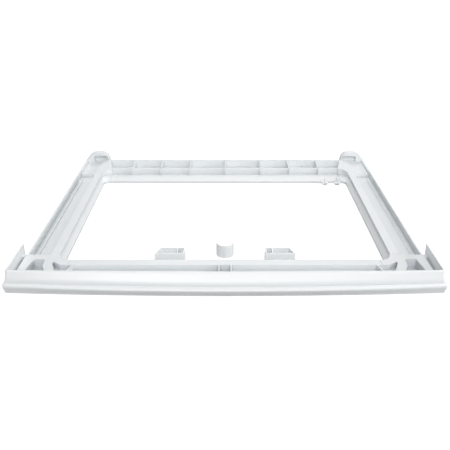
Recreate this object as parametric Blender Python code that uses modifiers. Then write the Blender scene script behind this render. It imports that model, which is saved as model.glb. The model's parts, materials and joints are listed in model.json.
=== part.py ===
"""Stacking kit that joins a tumble dryer to the top of a washing machine: a white moulded frame and its loose parts.

X runs to the right, Y to the back and Z up, in metres. The frame lies on Z = 0, and the origin is under the middle of
its box. Depths in this file are measured back from the foremost edge of the front moulding.
"""

import math

import bmesh
import bpy
from mathutils import Matrix

for leftover in list(bpy.data.objects):
    bpy.data.objects.remove(leftover, do_unlink=True)

# Fits and working allowances
clearance = 0.0003
overrun = 0.002
merge_distance = 0.00001
drill_steps = 12

# Levels and walls that the whole frame shares
deck_height = 0.0165
fascia_height = 0.0325
ledge_height = 0.0053
ledge_lip_height = 0.0037
wall = 0.0025
thin_wall = 0.0022

# Front moulding
lip_half_width = 0.3015
lip_flare = 0.0049
lip_end_depth = 0.0121
top_middle_depth = 0.0144
top_end_depth = 0.0191
fascia_corner_radius = 0.004
fascia_return_depth = 0.0236
fascia_half_width = lip_half_width - lip_flare

# End wings
wing_thickness = 0.0018
wing_foot = 0.003
wing_height = 0.0315
wing_web_length = 0.006
wing_overshoot = 0.005
wing_gap = 0.0033
wing_outer_face = fascia_half_width
wing_inner_face = wing_outer_face - wing_thickness
wing_front_depth = fascia_return_depth + clearance

# Side rails, from the outer wall in to the ledge
rail_setback = 0.007
rail_outer_wall = 0.0028
trough_width = 0.0309
plateau_width = 0.0131
rail_ledge_width = 0.0061
side_ledge_top = 0.0098
chamfer_wall = 0.0031
rail_length = 0.3255
trough_floor_height = 0.005
bead_setback = 0.0064
bead_width = 0.0018
bead_height = 0.0009
rail_outer_edge = fascia_half_width - rail_setback
rail_trough_outer = rail_outer_edge - rail_outer_wall
plateau_outer = rail_trough_outer - trough_width
rail_inner_wall = plateau_outer - plateau_width
rail_inner_edge = rail_inner_wall - rail_ledge_width
bead_place = rail_trough_outer - bead_setback

# Front crossbar
front_bar_setback = 0.0193
channel_depth = 0.0648
front_flange_width = 0.016
foot_line_steps = 20
channel_floor_height = 0.0089
channel_rib_thickness = 0.0018
channel_rib_place = 0.0085
end_rib_thickness = 0.0024
end_rib_slant = 0.0062
end_rib_run = 0.0178
front_bar_half_length = rail_inner_wall - front_bar_setback
front_flange_front = channel_depth
front_flange_rear = front_flange_front + front_flange_width
end_rib_bend_depth = front_flange_front - end_rib_run

# Front corner blocks
opening_fillet = 0.0137
pocket_floor_height = 0.0037
pocket_shoulder = 0.0144
pocket_setback = 0.0041
pocket_rear_width = 0.0169
pocket_inner_widening = 0.0145
pocket_outer_widening = 0.0069
pocket_corner_radius = 0.003
recess_step = 0.0012
recess_chamfer_setback = 0.0118
recess_chamfer_run = 0.009
recess_chamfer_past_rail = 0.0033
neck_past_rail = 0.0043
neck_run = 0.0056
neck_front_setback = 0.0047
block_outer_edge = wing_inner_face - wing_gap
rail_front_depth = front_flange_rear + opening_fillet + wall
wing_rear_depth = rail_front_depth + wing_overshoot
pocket_front_depth = fascia_return_depth
pocket_rear_depth = rail_front_depth - pocket_shoulder
pocket_rear_inner = plateau_outer + pocket_setback
pocket_rear_outer = pocket_rear_inner + pocket_rear_width
rail_rear_depth = rail_front_depth + rail_length
# Inner edge of the pocket from the front: share of its length, and share of its widening there
pocket_inner_shares = ((0.0, 1.0), (0.39, 0.54), (0.65, 0.07))

# Rear crossbar
rear_bar_setback = 0.016
rear_bar_widening = 0.0127
rear_corner_run = 0.0095
rear_ledge_width = 0.0343
gutter_width = 0.0062
tray_width = 0.0474
tray_floor_thickness = 0.0024
tray_rib_thickness = 0.0018
tray_rib_drop = 0.0012
rear_bar_half_length = rail_inner_wall - rear_bar_setback
rear_bar_rear_half_length = rear_bar_half_length + rear_bar_widening
rear_ledge_front = rail_rear_depth + rear_corner_run
rear_ledge_rear = rear_ledge_front + rear_ledge_width
rear_front_wall = rear_ledge_rear + gutter_width
rear_tray_rear = rear_front_wall + wall + tray_width
tray_wall_rear = rear_tray_rear + wall
# Places of the tray's ribs, as shares of half the bar
tray_rib_shares = (0.0, 0.315, 0.571, 0.829)

# Rear corner blocks
corner_wall_setback = 0.0017
corner_wall_reach = 0.026
ramp_setback = 0.031
ramp_front_height = 0.011
ramp_front_setback = 0.0015
ramp_rear_height = 0.0125
ramp_rear_setback = 0.0018
ramp_rear_widening = 0.0043
corner_wall_depth = rear_ledge_rear + corner_wall_setback
rear_diagonal_start = corner_wall_depth + wall
ramp_front_depth = rail_rear_depth + ramp_setback

# Rear foot stops
stop_width = 0.0482
stop_depth = 0.0196
stop_advance = 0.0015
stop_mouth_setback = 0.0032
stop_mouth_width = 0.0287
stop_mouth_top = 0.0244
stop_mouth_reach = 0.006
stop_mouth_radius = 0.004
stop_core_height = 0.0095
stop_inner_edge = rail_outer_edge - clearance - stop_width
stop_front_depth = tray_wall_rear - stop_advance
stop_mouth_inner = stop_inner_edge + stop_mouth_setback
overall_depth = stop_front_depth + clearance + stop_depth

# Tongues that slide under the corner blocks, and the screws through them
tongue_length = 0.014
tongue_width = 0.01
tongue_height = 0.0045
end_boss_length = 0.01
joint_screw_head_radius = 0.0027
joint_screw_head_height = 0.0016
joint_screw_radius = 0.00125
joint_screw_length = 0.0105
joint_screw_recess = 0.0005

# Rubber pads that stand a little proud of the underside
pad_thickness = 0.0015
pad_proud = 0.0005
pad_width = 0.014
pad_length = 0.038
front_pad_middle = (pocket_rear_inner + pocket_rear_outer) / 2
front_pad_depth = (pocket_front_depth + pocket_rear_depth) / 2
rear_pad_middle = (plateau_outer + rail_trough_outer) / 2
rear_pad_depth = (rail_rear_depth + stop_front_depth) / 2

# Loose fixing brackets
bracket_place = 0.0591
bracket_standoff = 0.01
bracket_length = 0.0436
bracket_width = 0.0193
bracket_slant = 0.0069
bracket_height = 0.022
bracket_wall = 0.002
bracket_inner_cell = 0.0079
bracket_partition = 0.0018
bracket_front_depth = front_flange_rear + bracket_standoff

# Loose spacer sleeve
sleeve_radius = 0.0132
sleeve_wall = 0.0022
sleeve_height = 0.02
sleeve_groove_width = 0.0011
sleeve_groove_depth = 0.0006
sleeve_standoff = 0.0498
sleeve_arc_degrees = 200
sleeve_steps = 12
sleeve_depth = front_flange_rear + sleeve_standoff

# Loose fixing screws
fixing_head_radius = 0.0065
fixing_flange_height = 0.0012
fixing_hex_radius = 0.004
fixing_hex_height = 0.0034
fixing_shank_radius = 0.0021
fixing_length = 0.016
fixing_tip_length = 0.0022
fixing_setbacks = (0.0412, 0.0172)
fixing_standoff = 0.0005
fixing_steps = 24
hexagon_sides = 6
fixing_depth = rear_ledge_front - fixing_head_radius - fixing_standoff

# Levels of the front moulding from its foot to its top edge: share of the height, of the flare at the ends and of the
# reach from the top edge forward to the lip.
fascia_face_shares = (
    (0.00, 0.72, 0.50),
    (0.10, 0.80, 0.62),
    (0.24, 0.92, 0.84),
    (0.31, 0.98, 0.95),
    (0.37, 1.00, 1.00),
    (0.42, 0.98, 0.99),
    (0.455, 0.86, 0.93),
    (0.478, 0.60, 0.80),
    (0.49, 0.40, 0.66),
    (0.58, 0.22, 0.65),
    (0.64, 0.12, 0.61),
    (0.70, 0.06, 0.53),
    (0.76, 0.03, 0.43),
    (0.82, 0.01, 0.33),
    (0.88, 0.00, 0.23),
    (0.94, 0.00, 0.13),
    (0.98, 0.00, 0.05),
    (1.00, -0.12, -0.05),
)
fascia_back_shares = (
    (1.00, 0.00, 0.00),
    (0.82, 0.01, 0.33),
    (0.70, 0.06, 0.53),
    (0.55, 0.24, 0.62),
    (0.44, 0.70, 0.85),
    (0.31, 0.92, 0.93),
    (0.20, 0.90, 0.80),
    (0.00, 0.72, 0.50),
)
front_station_shares = tuple(step / 10 for step in range(11))
corner_angles = tuple(math.radians(90 * step / 4) for step in range(1, 5))

# Arch of a rear foot stop, from its inner foot over the crown to its outer foot, as shares of its width and height.
stop_arch_shares = (
    (0.00, 0.00),
    (0.00, 0.55),
    (0.02, 0.68),
    (0.06, 0.81),
    (0.12, 0.92),
    (0.20, 0.98),
    (0.29, 1.00),
    (0.57, 1.00),
    (0.67, 0.97),
    (0.76, 0.90),
    (0.84, 0.80),
    (0.92, 0.66),
    (1.00, 0.51),
    (1.00, 0.00),
)
# Sections of a stop from front to back: share of its depth and of its full arch.
stop_section_shares = ((0.0, 0.955), (0.12, 1.0), (0.55, 1.0), (0.84, 0.94), (1.0, 0.83))


def plastic(name, colour, roughness, metallic=0.0):
    material = bpy.data.materials.new(name)
    material.use_nodes = True
    shader = material.node_tree.nodes["Principled BSDF"]
    shader.inputs["Base Color"].default_value = (*colour, 1.0)
    shader.inputs["Roughness"].default_value = roughness
    shader.inputs["Metallic"].default_value = metallic
    material.diffuse_color = (*colour, 1.0)
    return material


fascia_white = plastic("fascia_white", (0.90, 0.92, 0.93), 0.30)
frame_white = plastic("frame_white", (0.82, 0.85, 0.87), 0.42)
accessory_white = plastic("accessory_white", (0.78, 0.83, 0.84), 0.45)
pad_rubber = plastic("pad_rubber", (0.22, 0.23, 0.24), 0.85)
screw_steel = plastic("screw_steel", (0.66, 0.67, 0.68), 0.30, 1.0)

kit = bpy.data.collections.new("washer_dryer_stacking_kit")
cutters = bpy.data.collections.new("cutters")
bpy.context.scene.collection.children.link(kit)
bpy.context.scene.collection.children.link(cutters)

front_edge = bpy.data.objects.new("front_edge", None)
front_edge.location = (0, -overall_depth / 2, pad_proud)
kit.objects.link(front_edge)


def solid(name, bm, material=None):
    """Closes a bmesh into an object: a piece of the kit where it has a material, and otherwise a tool for Booleans."""
    bmesh.ops.remove_doubles(bm, verts=bm.verts, dist=merge_distance)
    bmesh.ops.recalc_face_normals(bm, faces=bm.faces)
    mesh = bpy.data.meshes.new(name)
    bm.to_mesh(mesh)
    bm.free()
    piece = bpy.data.objects.new(name, mesh)
    if material is None:
        cutters.objects.link(piece)
        piece.hide_render = True
        piece.display_type = "WIRE"
    else:
        kit.objects.link(piece)
        mesh.materials.append(material)
    piece.parent = front_edge
    return piece


def box(name, low, high, material=None):
    bm = bmesh.new()
    sides = [top - bottom for bottom, top in zip(low, high)]
    middle = [(bottom + top) / 2 for bottom, top in zip(low, high)]
    place = Matrix.Translation(middle) @ Matrix.Diagonal((*sides, 1))
    bmesh.ops.create_cube(bm, size=1, matrix=place)
    return solid(name, bm, material)


# Where an outline's own axes and its extrusion go: a plan lies flat, a cross section of a bar stands across X, and a
# cross section of a rail stands across Y.
OUTLINE_AXES = {
    "plan": Matrix(((1, 0, 0, 0), (0, 1, 0, 0), (0, 0, 1, 0), (0, 0, 0, 1))),
    "along_x": Matrix(((0, 0, 1, 0), (1, 0, 0, 0), (0, 1, 0, 0), (0, 0, 0, 1))),
    "along_y": Matrix(((1, 0, 0, 0), (0, 0, 1, 0), (0, 1, 0, 0), (0, 0, 0, 1))),
}


def extrusion(name, outline, low, high, axes, material=None):
    """A flat outline, filled and extruded from low to high, as a mesh."""
    curve = bpy.data.curves.new(name, "CURVE")
    curve.dimensions = "2D"
    curve.fill_mode = "BOTH"
    curve.extrude = (high - low) / 2
    spline = curve.splines.new("POLY")
    spline.points.add(len(outline) - 1)
    for point, (across, along) in zip(spline.points, outline):
        point.co = (across, along, 0, 1)
    spline.use_cyclic_u = True
    drawn = bpy.data.objects.new(name + "_outline", curve)
    bpy.context.scene.collection.objects.link(drawn)
    graph = bpy.context.evaluated_depsgraph_get()
    mesh = bpy.data.meshes.new_from_object(drawn.evaluated_get(graph))
    mesh.transform(OUTLINE_AXES[axes] @ Matrix.Translation((0, 0, (low + high) / 2)))
    bm = bmesh.new()
    bm.from_mesh(mesh)
    bpy.data.objects.remove(drawn)
    bpy.data.curves.remove(curve)
    bpy.data.meshes.remove(mesh)
    return solid(name, bm, material)


def loft(name, rings, material=None):
    """A closed body through rings of points, capped at both ends."""
    bm = bmesh.new()
    rows = [[bm.verts.new(point) for point in ring] for ring in rings]
    for row, following in zip(rows, rows[1:]):
        for index in range(len(row)):
            ahead = (index + 1) % len(row)
            bm.faces.new((row[index], row[ahead], following[ahead], following[index]))
    bm.faces.new(rows[0])
    bm.faces.new(rows[-1])
    return solid(name, bm, material)


def turned(name, profile, steps, material=None):
    """A profile of (radius, height) points, from the top of the axis down to its foot, turned about Z."""
    mesh = bpy.data.meshes.new(name)
    edges = [(index, index + 1) for index in range(len(profile) - 1)]
    mesh.from_pydata([(radius, 0, height) for radius, height in profile], edges, [])
    piece = bpy.data.objects.new(name, mesh)
    screw = piece.modifiers.new("Turn", "SCREW")
    screw.steps = steps
    screw.render_steps = steps
    screw.use_merge_vertices = True
    screw.merge_threshold = merge_distance
    screw.use_smooth_shade = True
    bpy.context.scene.collection.objects.link(piece)
    graph = bpy.context.evaluated_depsgraph_get()
    bm = bmesh.new()
    bm.from_object(piece, graph)
    bpy.data.objects.remove(piece)
    return solid(name, bm, material)


def combine(piece, operation, *tools):
    for tool in tools:
        boolean = piece.modifiers.new(tool.name, "BOOLEAN")
        boolean.operation = operation
        boolean.solver = "EXACT"
        boolean.object = tool


def join(piece, *tools):
    combine(piece, "UNION", *tools)


def cut(piece, *tools):
    combine(piece, "DIFFERENCE", *tools)


def as_left(piece):
    """The left-hand twin of a right-hand piece, as its own mesh."""
    bpy.context.view_layer.update()
    graph = bpy.context.evaluated_depsgraph_get()
    mesh = bpy.data.meshes.new_from_object(piece.evaluated_get(graph))
    mesh.transform(Matrix.Diagonal((-1, 1, 1, 1)))
    mesh.flip_normals()
    twin = bpy.data.objects.new(piece.name.replace("right", "left"), mesh)
    twin.parent = front_edge
    twin.location = piece.location
    twin.location.x = -piece.location.x
    kit.objects.link(twin)
    return twin


def smooth(piece, angle=math.radians(35)):
    piece.data.shade_smooth()
    piece.data.set_sharp_from_angle(angle=angle)


def arc(middle, radius, start, end, steps=5):
    """Points round a circle from one angle to another, in degrees from +X towards +Y."""
    angles = [math.radians(start + (end - start) * step / steps) for step in range(steps + 1)]
    return [(middle[0] + radius * math.cos(a), middle[1] + radius * math.sin(a)) for a in angles]


def corner_curve(start, end, steps):
    """A quarter of an ellipse that leaves one point along the rail and reaches the other along the rear bar."""
    width = start[0] - end[0]
    run = end[1] - start[1]
    angles = [math.radians(90 * step / steps) for step in range(steps + 1)]
    return [(end[0] + width * math.cos(a), start[1] + run * math.sin(a)) for a in angles]


# Front moulding: one swept wall that bows forward in the middle and turns back at both ends
def fascia_curve(flare_share, reach_share, inset):
    """Half the width of one level of the front moulding, and the function that gives its depth at a place across."""
    half_width = fascia_half_width + lip_flare * flare_share - inset
    middle_depth = top_middle_depth * (1 - reach_share) + inset
    end_depth = top_end_depth + (lip_end_depth - top_end_depth) * reach_share + inset

    def depth_at(across):
        return middle_depth + (end_depth - middle_depth) * (across / half_width) ** 2

    return half_width, depth_at


def fascia_half_line(flare_share, reach_share, inset):
    """Plan points of one level of the front moulding, from the middle to the end of its right return."""
    half_width, depth_at = fascia_curve(flare_share, reach_share, inset)
    radius = fascia_corner_radius - inset
    flat_half = half_width - radius
    points = [(flat_half * share, depth_at(flat_half * share)) for share in front_station_shares]
    corner_depth = depth_at(flat_half) + radius
    for angle in corner_angles:
        across = flat_half + radius * math.sin(angle)
        points.append((across, corner_depth - radius * math.cos(angle)))
    points.append((half_width, fascia_return_depth))
    return points


def fascia_level(flare_share, reach_share, inset=0.0):
    right = fascia_half_line(flare_share, reach_share, inset)
    left = [(-across, depth) for across, depth in reversed(right[1:])]
    return left + right


def front_fascia():
    levels = [(height, fascia_level(flare, reach)) for height, flare, reach in fascia_face_shares]
    levels += [(height, fascia_level(flare, reach, wall)) for height, flare, reach in fascia_back_shares]
    stations = range(len(levels[0][1]))
    rings = [[(*line[station], height * fascia_height) for height, line in levels] for station in stations]
    smooth(loft("front_fascia", rings, fascia_white))


def foot_line(start, end, steps, setback=0.0):
    """Points along the frame's front edge, which lies just clear of the moulding's inner foot."""
    _, flare_share, reach_share = fascia_back_shares[-1]
    _, depth_at = fascia_curve(flare_share, reach_share, wall + clearance)
    places = [start + (end - start) * step / steps for step in range(steps + 1)]
    return [(across, depth_at(across) + setback) for across in places]


# Joint screws come up from below through a tongue into the corner block above it
def screw_profile(growth=0.0):
    head_top = joint_screw_recess + joint_screw_head_height
    foot = joint_screw_recess if growth == 0 else -overrun
    return [
        (0, joint_screw_recess + joint_screw_length + growth),
        (joint_screw_radius + growth, joint_screw_recess + joint_screw_length + growth),
        (joint_screw_radius + growth, head_top + growth),
        (joint_screw_head_radius + growth, head_top + growth),
        (joint_screw_head_radius + growth, foot),
        (0, foot),
    ]


def joint_screw(name, across, depth):
    """Places a screw and returns the cutter of its hole."""
    screw = turned(name, screw_profile(), drill_steps, screw_steel)
    smooth(screw)
    hole = turned(name + "_hole", screw_profile(clearance), drill_steps)
    for placed in (screw, hole):
        placed.location = (across, depth, 0)
    return hole


def slot_for(name, low, high):
    """Cutter for the slot that takes a tongue, open below."""
    wide_low = [edge - clearance for edge in low[:2]] + [-overrun]
    wide_high = [edge + clearance for edge in high]
    return box(name, wide_low, wide_high)


rail_tongue_low = rail_inner_wall + (plateau_width - tongue_width) / 2
rail_tongue_high = rail_tongue_low + tongue_width
rail_screw_place = rail_inner_wall + plateau_width / 2
front_tongue_low = (front_flange_front + front_flange_rear - tongue_width) / 2
front_tongue_high = front_tongue_low + tongue_width
rear_tongue_low = rear_diagonal_start + (tray_wall_rear - rear_diagonal_start) / 4
rear_tongue_high = rear_tongue_low + tongue_width
rear_bar_slope = rear_bar_widening / (tray_wall_rear - rear_diagonal_start)
rear_tongue_start = rear_bar_half_length + rear_bar_slope * (rear_tongue_high - rear_diagonal_start)


# Front crossbar: flange, channel floor, front skirt and the ribs that cross the channel
def front_crossbar(holes):
    outline = [
        (front_flange_front, channel_floor_height - thin_wall),
        (front_flange_front, deck_height),
        (front_flange_rear, deck_height),
        (front_flange_rear, 0),
        (front_flange_rear - thin_wall, 0),
        (front_flange_rear - thin_wall, deck_height - thin_wall),
        (front_flange_front + thin_wall, deck_height - thin_wall),
        (front_flange_front + thin_wall, channel_floor_height - thin_wall),
    ]
    half = front_bar_half_length
    bar = extrusion("front_crossbar", outline, -half, half, "along_x", frame_white)
    floor_rear = front_flange_front + thin_wall
    floor = [(half, floor_rear), (-half, floor_rear)] + foot_line(-half, half, foot_line_steps)
    join(bar, extrusion("channel_floor", floor, channel_floor_height - thin_wall, channel_floor_height, "plan"))
    skirt = foot_line(-half, half, foot_line_steps) + foot_line(half, -half, foot_line_steps, thin_wall)
    join(bar, extrusion("channel_skirt", skirt, 0, channel_floor_height - thin_wall / 2, "plan"))
    rib_low = channel_floor_height - thin_wall / 2
    for side in (-1, 1):
        place = side * channel_rib_place
        edge = channel_rib_thickness / 2
        rib_front = foot_line(place, place, 1, thin_wall)[0][1]
        low = (place - edge, rib_front, rib_low)
        high = (place + edge, floor_rear, deck_height - clearance)
        join(bar, box(f"channel_rib_{side}", low, high))
        rib_outer = side * half
        rib_inner = side * (half - end_rib_thickness)
        rib_front = foot_line(rib_inner, rib_outer, 1, thin_wall)[0][1]
        rib_rear = half - end_rib_thickness - end_rib_slant
        rib = [
            (side * rib_rear, floor_rear),
            (rib_inner, end_rib_bend_depth),
            (rib_inner, rib_front),
            (rib_outer, rib_front),
            (rib_outer, end_rib_bend_depth),
            (side * (rib_rear + end_rib_thickness), floor_rear),
        ]
        join(bar, extrusion(f"end_rib_{side}", rib, rib_low, deck_height - clearance, "plan"))
        boss_ends = sorted((side * (half - end_boss_length), side * half))
        low = (boss_ends[0], front_flange_front + thin_wall / 2, 0)
        high = (boss_ends[1], front_flange_rear - thin_wall / 2, deck_height - thin_wall / 2)
        join(bar, box(f"front_boss_{side}", low, high))
        tongue_ends = sorted((side * (half - end_boss_length / 2), side * (half + tongue_length)))
        low = (tongue_ends[0], front_tongue_low, 0)
        high = (tongue_ends[1], front_tongue_high, tongue_height)
        join(bar, box(f"front_tongue_{side}", low, high))
    cut(bar, *holes)
    return bar


def trough_floor_line():
    """Cross section of the trough's floor and the bead on it, from the plateau out to the outer wall."""
    bead_side = bead_width / 4
    bead_start = bead_place - bead_width / 2
    bead_end = bead_place + bead_width / 2
    return [
        (plateau_outer, trough_floor_height),
        (bead_start, trough_floor_height),
        (bead_start + bead_side, trough_floor_height + bead_height),
        (bead_end - bead_side, trough_floor_height + bead_height),
        (bead_end, trough_floor_height),
        (rail_trough_outer, trough_floor_height),
    ]


# Side rail: sloping inner ledge, hollow plateau, trough with a bead, and outer wall
def side_rail(holes):
    floor_foot = trough_floor_height - wall
    ledge_slope = (side_ledge_top - ledge_lip_height) / rail_ledge_width
    outline = [
        (rail_inner_edge, 0),
        (rail_inner_edge, ledge_lip_height),
        (rail_inner_wall, side_ledge_top),
        (rail_inner_wall, deck_height),
        (plateau_outer, deck_height),
        *trough_floor_line(),
        (rail_trough_outer, deck_height),
        (rail_outer_edge, deck_height),
        (rail_outer_edge, 0),
        (rail_trough_outer, 0),
        (rail_trough_outer, floor_foot),
        (plateau_outer, floor_foot),
        (plateau_outer, 0),
        (plateau_outer - thin_wall, 0),
        (plateau_outer - thin_wall, deck_height - thin_wall),
        (rail_inner_wall + thin_wall, deck_height - thin_wall),
        (rail_inner_wall + thin_wall, 0),
        (rail_inner_wall, 0),
        (rail_inner_wall, side_ledge_top - chamfer_wall),
        (rail_inner_edge + thin_wall, ledge_lip_height + thin_wall * ledge_slope - chamfer_wall),
        (rail_inner_edge + thin_wall, 0),
    ]
    front = rail_front_depth + clearance
    rear = rail_rear_depth - clearance
    rail = extrusion("right_side_rail", outline, front, rear, "along_y", frame_white)
    for label, end, inward in (("front", front, 1), ("rear", rear, -1)):
        boss_ends = sorted((end, end + inward * end_boss_length))
        low = (rail_inner_wall + thin_wall / 2, boss_ends[0], 0)
        high = (plateau_outer - thin_wall / 2, boss_ends[1], deck_height - thin_wall / 2)
        join(rail, box(f"rail_{label}_boss", low, high))
        tongue_ends = sorted((end + inward * end_boss_length / 2, end - inward * tongue_length))
        low = (rail_tongue_low, tongue_ends[0], 0)
        high = (rail_tongue_high, tongue_ends[1], tongue_height)
        join(rail, box(f"rail_{label}_tongue", low, high))
    cut(rail, *holes)
    return rail


# Front corner block: deck round a foot pocket, with the end of the channel let in beside it
def front_corner_block(holes):
    inner = front_bar_half_length + clearance
    fillet_middle = (rail_inner_wall - thin_wall - opening_fillet, front_flange_rear + opening_fillet)
    outline = foot_line(inner, block_outer_edge, 4)
    outline += [(block_outer_edge, rail_front_depth), (fillet_middle[0] + opening_fillet, rail_front_depth)]
    outline += arc(fillet_middle, opening_fillet, 0, -90)
    outline += [(inner, front_flange_rear)]
    block = extrusion("right_front_corner_block", outline, 0, deck_height, "plan", frame_white)

    radius = pocket_corner_radius
    rounded = pocket_rear_depth - radius
    pocket = [(pocket_rear_outer + pocket_outer_widening, pocket_front_depth)]
    pocket += arc((pocket_rear_outer - radius, rounded), radius, 0, 90, 3)
    pocket += arc((pocket_rear_inner + radius, rounded), radius, 90, 180, 3)
    pocket_run = pocket_rear_depth - pocket_front_depth
    for run_share, widening_share in reversed(pocket_inner_shares):
        across = pocket_rear_inner - widening_share * pocket_inner_widening
        pocket.append((across, pocket_front_depth + run_share * pocket_run))
    cut(block, extrusion("pocket", pocket, pocket_floor_height, deck_height + overrun, "plan"))

    neck_rear = (rail_inner_wall + neck_past_rail, front_flange_front + neck_run)
    neck_front = (rail_inner_wall - neck_front_setback, end_rib_bend_depth)
    neck_slope = (neck_rear[0] - neck_front[0]) / (neck_rear[1] - neck_front[1])
    recess_front = fascia_return_depth
    chamfer_start = (front_bar_half_length + recess_chamfer_setback, front_flange_front + recess_step)
    chamfer_end = (rail_inner_wall + recess_chamfer_past_rail, chamfer_start[1] + recess_chamfer_run)
    recess = [
        (inner - overrun, front_flange_front),
        chamfer_start,
        chamfer_end,
        neck_rear,
        neck_front,
        (neck_front[0] - neck_slope * (neck_front[1] - recess_front) / 2, recess_front),
        (inner - overrun, recess_front),
    ]
    cut(block, extrusion("recess", recess, channel_floor_height, deck_height + overrun, "plan"))

    low = (front_bar_half_length - overrun, front_tongue_low, 0)
    high = (front_bar_half_length + tongue_length, front_tongue_high, tongue_height)
    cut(block, slot_for("front_bar_slot", low, high))
    rail_end = rail_front_depth + clearance
    low = (rail_tongue_low, rail_end - tongue_length, 0)
    high = (rail_tongue_high, rail_end + overrun, tongue_height)
    cut(block, slot_for("front_rail_slot", low, high))
    cut(block, pad_recess("front_pad_recess", front_pad_middle, front_pad_depth))
    cut(block, *holes)
    return block


def pad_box(middle, depth, growth=0.0):
    foot = -overrun if growth else -pad_proud
    low = (middle - pad_width / 2 - growth, depth - pad_length / 2 - growth, foot)
    high = (middle + pad_width / 2 + growth, depth + pad_length / 2 + growth, pad_thickness - pad_proud + growth)
    return low, high


def pad_recess(name, middle, depth):
    return box(name, *pad_box(middle, depth, clearance))


# Rear crossbar: low ledge, gutter, egg-crate tray and rear wall
def rear_crossbar(holes):
    outline = [
        (rear_ledge_front, 0),
        (rear_ledge_front, ledge_lip_height),
        (rear_ledge_rear, ledge_height),
        (rear_ledge_rear, tray_floor_thickness),
        (rear_front_wall, tray_floor_thickness),
        (rear_front_wall, deck_height),
        (rear_front_wall + wall, deck_height),
        (rear_front_wall + wall, tray_floor_thickness),
        (rear_tray_rear, tray_floor_thickness),
        (rear_tray_rear, deck_height),
        (tray_wall_rear, deck_height),
        (tray_wall_rear, 0),
        (rear_ledge_rear - thin_wall, 0),
        (rear_ledge_rear - thin_wall, ledge_height - thin_wall),
        (rear_ledge_front + thin_wall, ledge_lip_height - thin_wall),
        (rear_ledge_front + thin_wall, 0),
    ]
    reach = rear_bar_rear_half_length
    bar = extrusion("rear_crossbar", outline, -reach, reach, "along_x", frame_white)
    rib_top = deck_height - tray_rib_drop
    rib = [
        (rear_ledge_rear - thin_wall / 2, tray_floor_thickness / 2),
        (rear_ledge_rear - thin_wall / 2, ledge_height - clearance),
        (rear_ledge_rear + clearance, ledge_height - clearance),
        (rear_ledge_rear + clearance, rib_top),
        (rear_tray_rear + wall / 2, rib_top),
        (rear_tray_rear + wall / 2, tray_floor_thickness / 2),
    ]
    for place in sorted({side * share * rear_bar_half_length for share in tray_rib_shares for side in (-1, 1)}):
        low = place - tray_rib_thickness / 2
        join(bar, extrusion("tray_rib", rib, low, low + tray_rib_thickness, "along_x"))
    for side in (-1, 1):
        half = rear_bar_half_length
        low_x, high_x = sorted((side * (half - end_boss_length), side * (rear_tongue_start + tongue_length)))
        end_cut = [
            (side * half, rear_ledge_front - overrun),
            (side * half, rear_diagonal_start),
            (side * reach, tray_wall_rear),
            (side * (reach + rear_bar_slope * overrun), tray_wall_rear + overrun),
            (side * (reach + end_boss_length), tray_wall_rear + overrun),
            (side * (reach + end_boss_length), rear_ledge_front - overrun),
        ]
        cut(bar, extrusion(f"bar_end_{side}", end_cut, -overrun, deck_height + overrun, "plan"))
        web = box(
            f"rear_tongue_web_{side}",
            (low_x, rear_tongue_low, 0),
            (high_x, rear_tongue_high, tray_floor_thickness),
        )
        join(bar, web)
        low_x, high_x = sorted((side * (rear_tongue_start + clearance), side * (rear_tongue_start + tongue_length)))
        low = (low_x, rear_tongue_low, 0)
        high = (high_x, rear_tongue_high, tongue_height)
        join(bar, box(f"rear_tongue_{side}", low, high))
    cut(bar, *holes)
    return bar


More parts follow.
